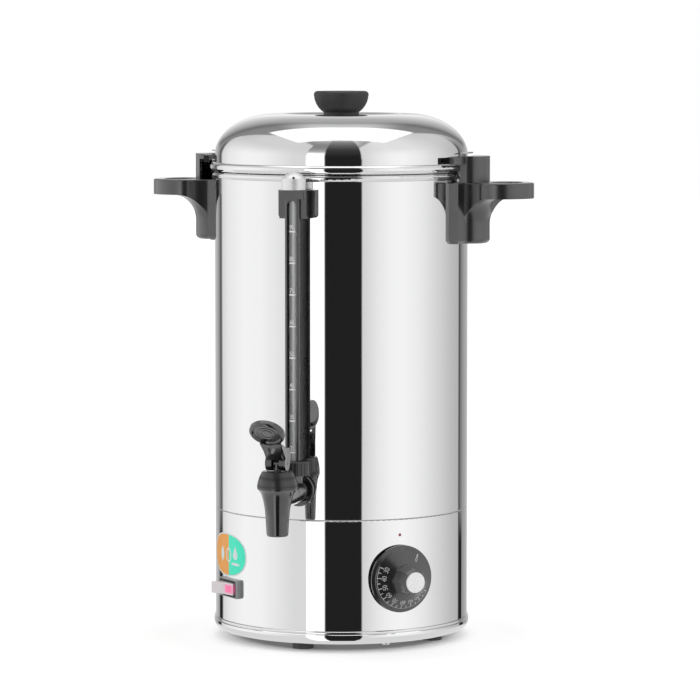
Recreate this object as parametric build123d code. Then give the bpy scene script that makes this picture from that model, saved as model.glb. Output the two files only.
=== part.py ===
from build123d import *
import math
import os

# Hot water urn: a single-walled steel tank on a heater base, with a sight
# gauge and a dispensing tap in front, a thermostat dial, a lit rocker switch,
# two plastic side handles and a domed lid that lifts off.
# Millimetres, +Z up. The origin lies on the tank's axis, on the floor.
# The tap faces -Y and the handles lie along +X and -X.

os.makedirs("parts", exist_ok=True)

# ---------------------------------------------------------------- driving sizes
TANK_R = 110.0          # outside radius of the tank and of the base
SHEET = 0.8             # steel sheet
FOOT_H = 8.2            # underside of the base plate above the floor
BASE_LOW = 18.8         # lower edge of the base shell
SEAM_Z = 114.0          # seam between base shell and tank
SEAM_GROOVE = 0.9       # open groove between their edges
SEAM_ROUND = 0.45       # rounding of the base shell's upper edge
FLOOR_Z = 120.0         # inside of the tank's floor
RIM_Z = 403.0           # centre of the rolled rim
RIM_BEAD_R = 2.9        # section radius of the rolled rim
LID_CREST = 455.5       # top of the lid's dome
LID_TOP = 453.6         # its sunk middle, where the knob stands
KNOB_TOP = 475.0        # top of the lid's knob

TAP_Z = 139.4           # height of the tap's shank
TAP_D = 166.0           # tap's upright axis, from the tank's axis
GAUGE_D = 124.0         # gauge glass, from the tank's axis
SPOUT_LOW = 107.0       # mouth of the spout
BONNET_TOP = 161.5      # top of the tap's bonnet
PIN_Z = 168.2           # lever pin, at rest
LEVER_RISE = 48.0       # slope of the lever's arm, at rest

DIAL_ANGLE = 45.6       # dial's place round the base, from the tap towards +X
DIAL_Z = 62.7
SWITCH_ANGLE = -41.5
SWITCH_Z = 48.3
GLAND_ANGLE = 180.0
GLAND_Z = 40.0

HANDLE_LOW = 345.0      # bottom of the handle's column
LOOP_LOW = 384.0        # finger loop
LOOP_HIGH = 397.5
HOOD_HIGH = 420.0       # top of the lock hood over the lid's rim
HOOD_HALF = 18.0        # half the column's width, and its rounded end's radius
COLUMN_D = 116.0        # centre of the column's rounded end
LOOP_TIP = 173.0        # outermost point of the finger loop
LOOP_HALF = 29.0        # half its width, and the radius of its round end

RUN = 0.05              # radial clearance of a shaft in its hole
GAP = 0.3               # clearance between separate bodies


# --------------------------------------------------------------------- helpers
def disc(radius, low, high):
    """Upright cylinder between two heights."""
    return Pos(0, 0, (low + high) / 2) * Cylinder(radius, high - low)


def tube(outer, inner, low, high):
    """Upright pipe between two heights."""
    return disc(outer, low, high) - disc(inner, low - 1, high + 1)


def block(x, y, z):
    """Box given as three pairs of limits."""
    size = [high - low for low, high in (x, y, z)]
    centre = [(high + low) / 2 for low, high in (x, y, z)]
    return Pos(*centre) * Box(*size)


def turned(*edges):
    """Solid of revolution about Z, from an outline in (radius, height)."""
    return revolve(Plane.XZ * make_face(list(edges)), Axis.Z)


def turned_points(*points):
    """Solid of revolution about Z, from straight runs in (radius, height)."""
    return turned(Polyline(*points, close=True))


def outward(height):
    """Plane whose Z runs straight out at the tap's side, at a height."""
    return Plane(origin=(0, 0, height), x_dir=(1, 0, 0), z_dir=(0, -1, 0))


def around(angle, shape):
    """Turn a shape built at the tap's side round the tank's axis."""
    return Rot(0, 0, angle) * shape


def polar(distance, angle, height):
    """Point at a distance from the axis, at an angle from the tap to +X."""
    turn = math.radians(angle)
    return (distance * math.sin(turn), -distance * math.cos(turn), height)


def group(shapes):
    """Several separate solids in one node."""
    solids = [solid for shape in shapes for solid in shape.solids()]
    return Compound(children=solids)


def save(name, shape):
    """Write one node."""
    export_step(shape, "parts/" + name + ".step")


def pan_screw(radius, head_radius, head_height, length):
    """Pan-head screw: the head's seat is at zero and the shank runs up +Z."""
    head = disc(head_radius, -head_height, 0)
    head = fillet(head.edges().sort_by(Axis.Z)[0], head_height * 0.5)
    slot = block((-head_radius, head_radius), (-0.4, 0.4), (-head_height - 1, -head_height * 0.55))
    return head - slot + disc(radius, -0.2, length)


def hex_nut(flats, bore, height):
    """Hexagon nut standing on zero."""
    body = extrude(RegularPolygon(flats / 2, 6, major_radius=False), height)
    return body - disc(bore, -1, height + 1)


# ------------------------------------------------------------------ holes in the shells
SHANK_R = 8.7
BRACKET_SCREW_Z = 383.0
HANDLE_SCREW_Z = (355.0, 376.0)
HANDLE_SCREW_R = 2.5
SHAFT_HOLE_R = 5.5
CUTOUT_HALF = (14.6, 7.0)
GLAND_THREAD_R = 8.0
DIAL_SCREW_X = 14.0


def handle_screw_line(radius, near, far, height, side):
    """Cylinder along X through the wall at one handle."""
    return Pos(side * (near + far) / 2, 0, height) * Rot(0, 90, 0) * Cylinder(radius, far - near)


# ------------------------------------------------------------------------ tank
def tank_shell():
    wall_in = TANK_R - SHEET
    spigot_out = TANK_R - SHEET - 0.2
    outline = (
        (TANK_R, SEAM_Z),
        (TANK_R, RIM_Z),
        (wall_in, RIM_Z),
        (wall_in, SEAM_Z + 2 * SHEET),
        (spigot_out - SHEET, SEAM_Z + SHEET),
        (spigot_out - SHEET, SEAM_Z - 10),
        (spigot_out, SEAM_Z - 10),
        (spigot_out, SEAM_Z),
    )
    shell = turned_points(*outline)
    bead = revolve(Plane.XZ * Pos(TANK_R - 0.1, RIM_Z) * Circle(RIM_BEAD_R), Axis.Z)
    shell = shell + bead
    shell = shell - outward(TAP_Z) * disc(SHANK_R, 90, 120)
    shell = shell - outward(BRACKET_SCREW_Z) * disc(2.0, 90, 120)
    for side in (1, -1):
        for height in HANDLE_SCREW_Z:
            shell = shell - handle_screw_line(HANDLE_SCREW_R, 100, 120, height, side)
    return shell


def tank_floor():
    return disc(TANK_R - SHEET, FLOOR_Z - 1.6, FLOOR_Z)


HEATER_R = 80.0
HEATER_HIGH = FLOOR_Z - 1.6
HEATER_LOW = HEATER_HIGH - 5
ELEMENT_R = 60.0
ELEMENT_ROD = 3.3
ELEMENT_Z = HEATER_LOW - ELEMENT_ROD
PIN_LOW = 88.0


def heater_plate():
    return tube(HEATER_R, 4.0, HEATER_LOW, HEATER_HIGH)


def heating_element():
    """Open ring of tubular heater with two cold pins that turn down."""
    ring = Plane.XZ * Pos(ELEMENT_R, ELEMENT_Z) * Circle(ELEMENT_ROD)
    arc = 320
    rod = Rot(0, 0, 110) * revolve(ring, Axis.Z, revolution_arc=arc)
    ends = []
    for turn in (110, 110 + arc):
        at = Rot(0, 0, turn) * Pos(ELEMENT_R, 0, 0)
        ends.append(at * disc(ELEMENT_ROD, PIN_LOW, ELEMENT_Z))
    knees = [Rot(0, 0, turn) * Pos(ELEMENT_R, 0, ELEMENT_Z) * Sphere(ELEMENT_ROD)
             for turn in (110, 110 + arc)]
    return rod + ends[0] + ends[1] + knees[0] + knees[1]


def element_clamps():
    """Three bridge straps that hold the ring up against the plate."""
    straps = []
    for turn in (0, 180, 270):
        strap_low = ELEMENT_Z - ELEMENT_ROD - 1.2
        strap = block((ELEMENT_R - 12, ELEMENT_R + 12), (-5, 5), (strap_low, HEATER_LOW))
        rod = revolve(Plane.XZ * Pos(ELEMENT_R, ELEMENT_Z) * Circle(ELEMENT_ROD), Axis.Z)
        room = tube(ELEMENT_R + ELEMENT_ROD, ELEMENT_R - ELEMENT_ROD, ELEMENT_Z, HEATER_LOW)
        straps.append(Rot(0, 0, turn) * (strap - rod - room))
    return group(straps)


SNAP_DISC_R = 8.0


def thermal_cutout():
    """Snap-disc cut-out pressed against the middle of the heater plate."""
    body = disc(SNAP_DISC_R, HEATER_LOW - 9, HEATER_LOW)
    flange = disc(SNAP_DISC_R + 2.5, HEATER_LOW - 1.5, HEATER_LOW)
    blades = [block((x - 0.4, x + 0.4), (-3.1, 3.1), (HEATER_LOW - 17, HEATER_LOW - 8))
              for x in (-5, 5)]
    return body + flange + blades[0] + blades[1]


# ------------------------------------------------------------------------ base
RING_LOW = 7.0
RING_R = 111.3
PLATE_R = 103.0
PLATE_HIGH = FOOT_H + 1.2
FLANGE_IN = 97.0
FOOT_D = 85.0
FOOT_R = 9.0
FOOT_STEM_R = 4.0
FEET = (-4, 86, 176, 266)
PLATE_SCREW_D = 100.0
PLATE_SCREWS = (41, 131, 221, 311)
RESET_XY = (-40.0, 30.0)
RESET_R = 3.5


def base_shell():
    shell = tube(TANK_R, TANK_R - SHEET - 0.1, BASE_LOW, SEAM_Z - SEAM_GROOVE)
    rim = shell.edges().group_by(Axis.Z)[-1].sort_by(SortBy.LENGTH)[-1]
    shell = fillet(rim, SEAM_ROUND)
    shell = shell - around(DIAL_ANGLE, outward(DIAL_Z) * disc(SHAFT_HOLE_R, 90, 120))
    for x in (-DIAL_SCREW_X, DIAL_SCREW_X):
        shell = shell - around(DIAL_ANGLE, outward(DIAL_Z) * Pos(x, 0, 0) * disc(1.5, 90, 120))
    wide, high = CUTOUT_HALF
    cut = outward(SWITCH_Z) * block((-wide, wide), (-high, high), (90, 120))
    shell = shell - around(SWITCH_ANGLE, cut)
    return shell - around(GLAND_ANGLE, outward(GLAND_Z) * disc(GLAND_THREAD_R + 0.1, 90, 120))


def base_ring():
    """Rolled steel foot ring with its bead, its flange and its spigot."""
    spigot_out = TANK_R - SHEET - 0.2
    edges = (
        Line((FLANGE_IN, RING_LOW), (104.5, RING_LOW)),
        ThreePointArc((104.5, RING_LOW), (109.3, 9.0), (RING_R, 13.4)),
        Line((RING_R, 13.4), (RING_R, 15.6)),
        Line((RING_R, 15.6), (TANK_R + 0.3, 16.4)),
        ThreePointArc((TANK_R + 0.3, 16.4), (TANK_R + 0.9, 17.5), (TANK_R, 18.6)),
        Line((TANK_R, 18.6), (spigot_out, 18.6)),
        Line((spigot_out, 18.6), (spigot_out, 25)),
        Line((spigot_out, 25), (spigot_out - SHEET, 25)),
        Line((spigot_out - SHEET, 25), (spigot_out - SHEET, 17.6)),
        Line((spigot_out - SHEET, 17.6), (RING_R - 1.2, 14.8)),
        Line((RING_R - 1.2, 14.8), (RING_R - 1.2, 13.6)),
        ThreePointArc((RING_R - 1.2, 13.6), (108.4, 9.9), (104.3, FOOT_H)),
        Line((104.3, FOOT_H), (FLANGE_IN, FOOT_H)),
        Line((FLANGE_IN, FOOT_H), (FLANGE_IN, RING_LOW)),
    )
    ring = turned(*edges)
    for angle in PLATE_SCREWS:
        ring = ring - Pos(*polar(PLATE_SCREW_D, angle, 0)) * disc(2.0, 0, 20)
    return ring


def base_plate():
    plate = disc(PLATE_R, FOOT_H, PLATE_HIGH)
    for angle in PLATE_SCREWS:
        plate = plate - Pos(*polar(PLATE_SCREW_D, angle, 0)) * disc(2.0, 0, 20)
    for angle in FEET:
        plate = plate - Pos(*polar(FOOT_D, angle, 0)) * disc(FOOT_STEM_R, 0, 20)
    vent = SlotOverall(26, 3.2)
    for turn in range(0, 360, 60):
        slot = Rot(0, 0, turn + 20) * Pos(58, 0, FOOT_H - 1) * Rot(0, 0, 90) * extrude(vent, 4)
        plate = plate - slot
    plate = plate - Pos(RESET_XY[0], RESET_XY[1], 0) * disc(RESET_R + GAP, 0, 20)
    plate = plate - Pos(30, 72, 0) * disc(2.5, 0, 20)
    return plate


def base_plate_screws():
    screw = Pos(0, 0, RING_LOW) * pan_screw(2.0, 3.6, 2.0, 6.5)
    return group([Pos(*polar(PLATE_SCREW_D, angle, 0)) * screw for angle in PLATE_SCREWS])


def feet():
    """Solid rubber feet, each pulled through the plate by a barbed stem."""
    foot = turned(
        Line((0, 0), (FOOT_R, 0)),
        Line((FOOT_R, 0), (FOOT_R, FOOT_H)),
        Line((FOOT_R, FOOT_H), (FOOT_STEM_R, FOOT_H)),
        Line((FOOT_STEM_R, FOOT_H), (FOOT_STEM_R, PLATE_HIGH)),
        Line((FOOT_STEM_R, PLATE_HIGH), (FOOT_STEM_R + 1.6, PLATE_HIGH)),
        Line((FOOT_STEM_R + 1.6, PLATE_HIGH), (FOOT_STEM_R - 1.2, PLATE_HIGH + 5)),
        Line((FOOT_STEM_R - 1.2, PLATE_HIGH + 5), (0, PLATE_HIGH + 5)),
        Line((0, PLATE_HIGH + 5), (0, 0)),
    )
    return group([Pos(*polar(FOOT_D, angle, 0)) * foot for angle in FEET])


# ------------------------------------------------------- electrics in the base
THERMO_NEAR = 74.0
THERMO_FAR = 105.5
SHAFT_R = 3.0


def reset_housing():
    """High-limit cut-out on the base plate, with its reset button below."""
    at = Pos(RESET_XY[0], RESET_XY[1], 0)
    body = disc(13, PLATE_HIGH, 30) + block((-8, 8), (-11, 11), (29, 38))
    body = body - disc(RESET_R + RUN, 0, 22) - disc(RESET_R + 2.4, PLATE_HIGH + 2, 19)
    return at * body


def reset_button():
    """Button that pokes out under the base plate, with a collar inside."""
    at = Pos(RESET_XY[0], RESET_XY[1], 0)
    stem = disc(RESET_R, 5.4, 19.5)
    stem = fillet(stem.edges().sort_by(Axis.Z)[0], 0.8)
    return at * (stem + disc(RESET_R + 1.6, PLATE_HIGH + 2.3, PLATE_HIGH + 4.3))


def thermostat_body():
    """Rotary thermostat behind the dial."""
    body = block((-17, 17), (-19, 19), (THERMO_NEAR, THERMO_FAR - 6))
    body = fillet(body.edges().filter_by(Axis.Z), 2.5)
    body = body + block((-19, 19), (-8, 8), (THERMO_FAR - 6, THERMO_FAR - 4.5))
    body = body + disc(4.9, THERMO_FAR - 6, TANK_R - 0.2)
    for x in (-DIAL_SCREW_X, DIAL_SCREW_X):
        body = body + Pos(x, 0, 0) * disc(3.2, THERMO_FAR - 6, 107.6)
        body = body - Pos(x, 0, 0) * disc(1.5, 98, 112)
    body = body - disc(SHAFT_R + RUN, 90, 112)
    for x in (-9, 9):
        body = body + block((x - 3.1, x + 3.1), (-8.4, -7.6), (THERMO_NEAR - 9, THERMO_NEAR + 1))
    return around(DIAL_ANGLE, outward(DIAL_Z) * body)


def thermostat_screws():
    screws = []
    for x in (-DIAL_SCREW_X, DIAL_SCREW_X):
        seat = math.sqrt(TANK_R ** 2 - (abs(x) - 2.7) ** 2)
        screw = Pos(x, 0, seat) * Rot(180, 0, 0) * pan_screw(1.5, 2.7, 1.2, 11)
        screws.append(around(DIAL_ANGLE, outward(DIAL_Z) * screw))
    return group(screws)


BULB_D = 93.0
BULB_HALF = 25.0
BULB_ANGLE = 98.0
BULB_Z = HEATER_HIGH - 3.1


def thermostat_bulb():
    bulb = Pos(0, -BULB_D, BULB_Z) * Rot(0, 90, 0) * Cylinder(3.0, 2 * BULB_HALF)
    bulb = fillet(bulb.edges(), 1.2)
    return around(BULB_ANGLE, bulb)


def bulb_clips():
    """Two sheet clips under the tank's floor that hold the bulb."""
    clips = []
    for x in (-15, 15):
        clip = block((x - 3, x + 3), (-BULB_D - 7, -BULB_D + 4.2), (BULB_Z - 3.9, HEATER_HIGH))
        room = Pos(x, -BULB_D, BULB_Z) * Rot(0, 90, 0) * Cylinder(3.0, 8)
        room = room + block((x - 4, x + 4), (-BULB_D - 3, -BULB_D + 3), (BULB_Z, HEATER_HIGH + 1))
        clips.append(around(BULB_ANGLE, clip - room))
    return group(clips)


def bent_tube(radius, bend, *points):
    """Round tube along straight runs joined by tangent bends."""
    path = FilletPolyline(*points, radius=bend)
    return sweep(Plane(origin=path @ 0, z_dir=path % 0) * Circle(radius), path=path)


def capillary_tube():
    """Fine copper tube from the thermostat to its bulb."""
    reach = math.hypot(BULB_D, BULB_HALF)
    end_angle = BULB_ANGLE - math.degrees(math.atan2(BULB_HALF, BULB_D))
    far_angle = BULB_ANGLE - math.degrees(math.atan2(BULB_HALF + 16, BULB_D))
    far = math.hypot(BULB_D, BULB_HALF + 16)
    start = polar(90, DIAL_ANGLE, DIAL_Z + 19)
    return bent_tube(0.9, 6, start, polar(90, DIAL_ANGLE, 98), polar(far, far_angle, BULB_Z),
                     polar(reach, end_angle, BULB_Z))


def switch_frame():
    """Bezel of the rocker switch, with a saddle back that fits the shell."""
    frame = block((-16.5, 16.5), (-8, 8), (105, 113))
    frame = fillet(frame.edges().filter_by(Axis.Z), 2.0)
    frame = chamfer(frame.edges().group_by(Axis.Z)[-1], 0.7)
    wide, high = CUTOUT_HALF
    frame = frame - block((-wide - 0.1, wide + 0.1), (-high - 0.1, high + 0.1), (100, 120))
    frame = outward(SWITCH_Z) * frame
    return around(SWITCH_ANGLE, frame - disc(TANK_R + 0.05, 0, 100))


ROCKER_HALF = 5.0
ROCKER_PIVOT = 106.5
ROCKER_PIN_R = 1.2


def switch_housing():
    """Box behind the shell, open in front, that carries the rocker."""
    wide, high = CUTOUT_HALF
    body = block((-wide + 0.1, wide - 0.1), (-high + 0.1, high - 0.1), (86, 112.6))
    cavity = block((-13.4, 13.4), (-ROCKER_HALF - GAP, ROCKER_HALF + GAP), (97, 120))
    socket = Pos(0, 0, ROCKER_PIVOT) * Rot(90, 0, 0) * Cylinder(ROCKER_PIN_R + RUN, 2 * 6.0)
    return around(SWITCH_ANGLE, outward(SWITCH_Z) * (body - cavity - socket))


def switch_terminals():
    blades = [block((x - 0.4, x + 0.4), (-3.1, 3.1), (77, 86)) for x in (-8, 0, 8)]
    return group([around(SWITCH_ANGLE, outward(SWITCH_Z) * blade) for blade in blades])


def switch_rocker():
    """Clear rocker: one half stands proud, the other lies level."""
    outline = Polyline((-9.6, 108.5), (-11.0, 113.0), (-12.8, 121.6), (-11.6, 122.6), (0, 116.4),
                       (11.4, 115.0), (12.2, 114.2), (11.0, 113.0), (9.6, 108.5), (4, 104.5),
                       (-4, 104.5), close=True)
    rocker = extrude(Plane.XZ * make_face(outline), ROCKER_HALF, both=True)
    pivot = Pos(0, 0, ROCKER_PIVOT) * Rot(90, 0, 0) * Cylinder(ROCKER_PIN_R, 2 * 5.9)
    return around(SWITCH_ANGLE, outward(SWITCH_Z) * (rocker + pivot))


def terminal_block():
    body = block((-16, 16), (64, 80), (PLATE_HIGH, PLATE_HIGH + 13))
    body = fillet(body.edges().filter_by(Axis.Z), 1.5)
    for x in (-10, 0, 10):
        body = body - Pos(x, 72, 0) * disc(2.2, PLATE_HIGH + 8, PLATE_HIGH + 14)
        body = body - Pos(x, 72, PLATE_HIGH + 5) * Rot(90, 0, 0) * Cylinder(1.8, 20)
    return body


def earth_stud():
    stud = Pos(30, 72, FOOT_H - 0.8) * disc(2.5, 0, 14)
    return stud + Pos(30, 72, 0) * hex_nut(8.0, 2.4, 4.0).moved(Location((0, 0, PLATE_HIGH)))


WIRE_R = 1.2


def wiring():
    """Insulated leads between terminal block, switch, thermostat and heater."""
    terminal_top = PLATE_HIGH + 5
    lead_z = 46.0
    switch_back = polar(76, SWITCH_ANGLE, SWITCH_Z)
    thermo_back = polar(64, DIAL_ANGLE - 7, DIAL_Z - 8)
    left_pin = (Rot(0, 0, 110) * Pos(ELEMENT_R, 0, 0)).position
    right_pin = (Rot(0, 0, 70) * Pos(ELEMENT_R, 0, 0)).position
    live = bent_tube(WIRE_R, 6, (-10, 63.5, terminal_top), (-10, 50, terminal_top), (-14, 44, lead_z),
                     (-38, -30, lead_z), switch_back)
    link = bent_tube(WIRE_R, 6, polar(76, SWITCH_ANGLE + 6, SWITCH_Z), (-18, -36, lead_z),
                     (16, -36, lead_z + 4), thermo_back)
    load = bent_tube(WIRE_R, 6, polar(64, DIAL_ANGLE + 7, DIAL_Z - 8), (34, 10, 66),
                     (right_pin.X, right_pin.Y, 74), (right_pin.X, right_pin.Y, PIN_LOW - 0.1))
    neutral = bent_tube(WIRE_R, 6, (10, 63.5, terminal_top), (10, 52, terminal_top), (-12, 46, 64),
                        (left_pin.X, left_pin.Y, 74), (left_pin.X, left_pin.Y, PIN_LOW - 0.1))
    return group([live, link, load, neutral])


# --------------------------------------------------------------- cable inlet
GLAND_BORE = 3.6
GLAND_FACE = TANK_R + 0.1
GLAND_END = 130.0


def cable_gland():
    """Strain relief body: thread, hexagon collar and clamping barrel."""
    body = disc(GLAND_THREAD_R, 101, GLAND_FACE + 1)
    collar = Pos(0, 0, GLAND_FACE - 1) * extrude(RegularPolygon(11, 6, major_radius=False), 8)
    body = body + collar + disc(8.0, GLAND_FACE + 6, 120)
    body = body - disc(GLAND_BORE, 90, 140)
    placed = outward(GLAND_Z) * body
    saddle = disc(TANK_R + 0.05, 0, 100) - outward(GLAND_Z) * disc(GLAND_THREAD_R + 0.02, 90, 140)
    return around(GLAND_ANGLE, placed - saddle)


def gland_cap():
    """Domed clamping nut over the barrel."""
    cap = disc(10.4, GLAND_FACE + 7.2, GLAND_END)
    cap = fillet(cap.edges().sort_by(Axis.Z)[-1], 3.0)
    cap = cap - disc(8.05, 100, 120.05) - disc(GLAND_BORE, 100, 140)
    for turn in range(0, 360, 30):
        cap = cap - Rot(0, 0, turn) * Pos(10.9, 0, 0) * disc(1.0, 100, 126)
    return around(GLAND_ANGLE, outward(GLAND_Z) * cap)


def gland_nut():
    nut = Pos(0, 0, 103) * hex_nut(21, GLAND_THREAD_R, 4.5)
    return around(GLAND_ANGLE, outward(GLAND_Z) * nut)


# ------------------------------------------------------------------------- lid
LID_BEAD_LOW = RIM_Z + RIM_BEAD_R + GAP
LID_BEAD_R = 114.4
LID_BEAD_HIGH = 413.8
DOME_A = 52.0
DOME_B = 36.5
DOME_Z = LID_CREST - DOME_B
DOME_R = TANK_R - DOME_A
SUNK_R = 49.0
STEAM_HOLE_D = 40.0
SKIRT_R = 106.2
SKIRT_LOW = 397.0
LUG_OUT = 117.6
LUG_HALF = 6.5
LUG_HIGH = 423.2
LUG_SHEET = 1.2


def dome(shrink):
    """Solid dome under the lid's outer face, moved inwards by a thickness."""
    side = TANK_R - shrink
    top = LID_CREST - shrink
    middle = LID_TOP - shrink
    low = LID_BEAD_HIGH - 3
    return turned(
        Line((0, low), (side, low)),
        Line((side, low), (side, DOME_Z)),
        EllipticalCenterArc((DOME_R, DOME_Z), DOME_A - shrink, DOME_B - shrink, 0, arc_size=90),
        Line((DOME_R, top), (SUNK_R + 4, top)),
        Line((SUNK_R + 4, top), (SUNK_R, middle)),
        Line((SUNK_R, middle), (0, middle)),
        Line((0, middle), (0, low)),
    )


def lid_shell():
    shell = dome(0) - dome(SHEET)
    roll = Rectangle(6.8, LID_BEAD_HIGH - LID_BEAD_LOW)
    roll = fillet(roll.vertices(), 3.3)
    centre = Pos(LID_BEAD_R - 3.4, (LID_BEAD_LOW + LID_BEAD_HIGH) / 2)
    bead = revolve(Plane.XZ * centre * roll, Axis.Z)
    web_z = LID_BEAD_LOW + 2.6
    skirt = tube(SKIRT_R, SKIRT_R - SHEET, SKIRT_LOW, web_z + SHEET)
    web = tube(TANK_R - 0.2, SKIRT_R - 0.3, web_z, web_z + SHEET)
    shell = shell + bead + skirt + web
    shell = shell - disc(2.6, LID_TOP - 5, LID_TOP + 5)
    for turn in (60, 240):
        shell = shell - Rot(0, 0, turn) * Pos(STEAM_HOLE_D, 0, 0) * disc(1.8, LID_TOP - 5, LID_TOP + 5)
    notch = block((-16, 16), (-LID_BEAD_R - 2, -TANK_R + 0.6),
                  (LID_BEAD_LOW - 1, LID_BEAD_LOW + 2.2))
    return shell - around(-43, notch)


def lid_lugs():
    """Bent steel lugs, welded to the lid beside each handle's hood."""
    lugs = []
    low = LID_BEAD_HIGH + 0.1
    wide = (-LUG_HALF, LUG_HALF)
    deep = (-LUG_OUT, -TANK_R - 0.1)
    for turn in (90, 270):
        leaf = block(wide, (-TANK_R - 1.4, -TANK_R + 2), (low, LUG_HIGH))
        shelf = block(wide, deep, (LUG_HIGH - LUG_SHEET, LUG_HIGH))
        tab = block(wide, deep, (low, low + LUG_SHEET))
        lug = leaf + shelf + tab - dome(0)
        lugs.append(Rot(0, 0, turn) * lug)
    return group(lugs)


def lid_knob():
    """Turned plastic knob: a neck that flares to a wide rounded top."""
    low = LID_TOP
    knob = turned(
        Line((0, low), (15.6, low)),
        Line((15.6, low), (15.3, low + 3.0)),
        ThreePointArc((15.3, low + 3.0), (21.2, low + 9.4), (23.6, low + 17.0)),
        ThreePointArc((23.6, low + 17.0), (23.3, low + 20.0), (21.2, KNOB_TOP)),
        Line((21.2, KNOB_TOP), (0, KNOB_TOP - 0.4)),
        Line((0, KNOB_TOP - 0.4), (0, low)),
    )
    return knob - disc(2.5, low - 1, low + 13)


def lid_knob_screw():
    """Screw with a wide washer face under the lid."""
    screw = pan_screw(2.5, 4.6, 2.6, 14) + disc(8.0, 0, 1.2)
    return Pos(0, 0, LID_TOP - SHEET - 1.2) * screw


# --------------------------------------------------------------------- handles
GAP_CENTRE = 149.5
GAP_HALF = (13.5, 21.0)
FLARE = 22.0
HOOD_WALL = 4.5
HOOD_PLATE = 4.6
HOOD_IN = 118.2
WING_HALF = 28.0
WING_D = 114.0
WING_END = 118.5
HORN_R = 119.5
HORN_TURN = 18.0


def column_plan(half):
    """Plan of the column: straight sides from the tank, then a round end."""
    flat = Pos((COLUMN_D + 95) / 2, 0) * Rectangle(COLUMN_D - 95, 2 * half)
    return flat + Pos(COLUMN_D, 0) * Circle(half)


def wing_plan():
    """Plan of the saddle that spreads the column along the tank's wall."""
    end_half = HOOD_HALF - 1
    edge_half = WING_HALF - 2.5
    return make_face(Polyline((98, -WING_HALF), (WING_D, -edge_half), (WING_END, -end_half),
                              (WING_END, end_half), (WING_D, edge_half), (98, WING_HALF), close=True))


def loop_plan():
    """Plan of the finger loop: it leaves the column in a hollow curve."""
    centre = LOOP_TIP - LOOP_HALF
    slant = LOOP_HALF * math.sqrt(0.5)
    hollow = Spline((100, HOOD_HALF), (116, HOOD_HALF + 0.6), (129, 24.0), (centre, LOOP_HALF),
                    tangents=((1, 0), (1, 0)))
    round_end = ThreePointArc((centre, LOOP_HALF), (centre + slant, slant), (LOOP_TIP, 0))
    mirrored = [mirror(line, Plane.XZ) for line in (hollow, round_end)]
    return make_face([hollow, round_end, *mirrored, Line((100, -HOOD_HALF), (100, HOOD_HALF))])


def handle_screw_tools(side):
    shapes = []
    for height in HANDLE_SCREW_Z:
        shapes.append(handle_screw_line(HANDLE_SCREW_R, 100, 127, height, side))
    return shapes


def handle():
    """Handle on the +X side, with the lock hood over the lid's rim."""
    column = extrude(Plane.XY.offset(HANDLE_LOW) * column_plan(HOOD_HALF), LOOP_HIGH - HANDLE_LOW)
    column = fillet(column.edges().group_by(Axis.Z)[0], 4.0)
    wing = extrude(Plane.XY.offset(HANDLE_LOW) * wing_plan(), LOOP_HIGH - HANDLE_LOW)
    column = column + chamfer(wing.edges().group_by(Axis.Z)[0].filter_by(Axis.Y, reverse=True), 2.5)
    loop = extrude(Plane.XY.offset(LOOP_LOW) * loop_plan(), LOOP_HIGH - LOOP_LOW)
    flare_face = make_face([
        Line((0, LOOP_LOW - FLARE), (HOOD_HALF, LOOP_LOW - FLARE)),
        RadiusArc((HOOD_HALF, LOOP_LOW - FLARE), (HOOD_HALF + FLARE, LOOP_LOW), FLARE),
        Line((HOOD_HALF + FLARE, LOOP_LOW), (0, LOOP_LOW)),
        Line((0, LOOP_LOW), (0, LOOP_LOW - FLARE)),
    ])
    flare = Pos(COLUMN_D, 0, 0) * revolve(Plane.XZ * flare_face, Axis.Z)
    bounds = extrude(Plane.XY.offset(LOOP_LOW - FLARE) * loop_plan(), FLARE)
    gap = Plane.XY.offset(LOOP_LOW - FLARE - 1) * Pos(GAP_CENTRE, 0) * Ellipse(*GAP_HALF)
    gap = extrude(gap, LOOP_HIGH - LOOP_LOW + FLARE + 2)
    loop = loop + (flare & bounds) - gap
    loop = fillet(loop.edges().group_by(Axis.Z)[-1].filter_by(GeomType.LINE, reverse=True), 1.6)
    grip = column + loop
    hood = extrude(Plane.XY.offset(LOOP_HIGH) * column_plan(HOOD_HALF), HOOD_HIGH - LOOP_HIGH)
    hood = hood & block((HOOD_IN, 200), (-30, 30), (0, 500))
    hollow = extrude(Plane.XY.offset(LOOP_HIGH) * column_plan(HOOD_HALF - HOOD_WALL),
                     HOOD_HIGH - HOOD_PLATE - LOOP_HIGH)
    mouth = block((90, COLUMN_D + 10), (0, 30), (LOOP_HIGH, HOOD_HIGH - HOOD_PLATE))
    cheek = block((110, HOOD_IN + 1), (-HOOD_HALF, -HOOD_HALF + HOOD_WALL), (LOOP_HIGH, HOOD_HIGH))
    post = block((115.6, 121.5), (-9, -3), (LOOP_HIGH, 410.5))
    horn = tube(HORN_R, TANK_R, HOOD_HIGH - 6.6, HOOD_HIGH - 0.6)
    horn = horn & (Rot(0, 0, HORN_TURN) * block((0, 200), (-200, 0), (0, 500)))
    horn = horn & (Rot(0, 0, -HORN_TURN) * block((0, 200), (0, 200), (0, 500)))
    hood = hood + cheek + horn - hollow - mouth + post
    whole = grip + hood
    whole = whole - disc(LID_BEAD_R + 0.5, LOOP_HIGH + 0.5, 500) - disc(TANK_R + 0.05, 300, 500)
    rim_room = disc(TANK_R + RIM_BEAD_R + 0.3, RIM_Z - RIM_BEAD_R - 3.2, 500)
    whole = whole - rim_room
    for tool in handle_screw_tools(1):
        whole = whole - tool
    return whole


def handle_screws():
    screws = []
    for turn in (0, 180):
        for height in HANDLE_SCREW_Z:
            screw = Pos(BACKING_IN, 0, height) * Rot(0, 90, 0) * pan_screw(HANDLE_SCREW_R, 4.5, 2.6, 18)
            screws.append(Rot(0, 0, turn) * screw)
    return group(screws)


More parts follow.
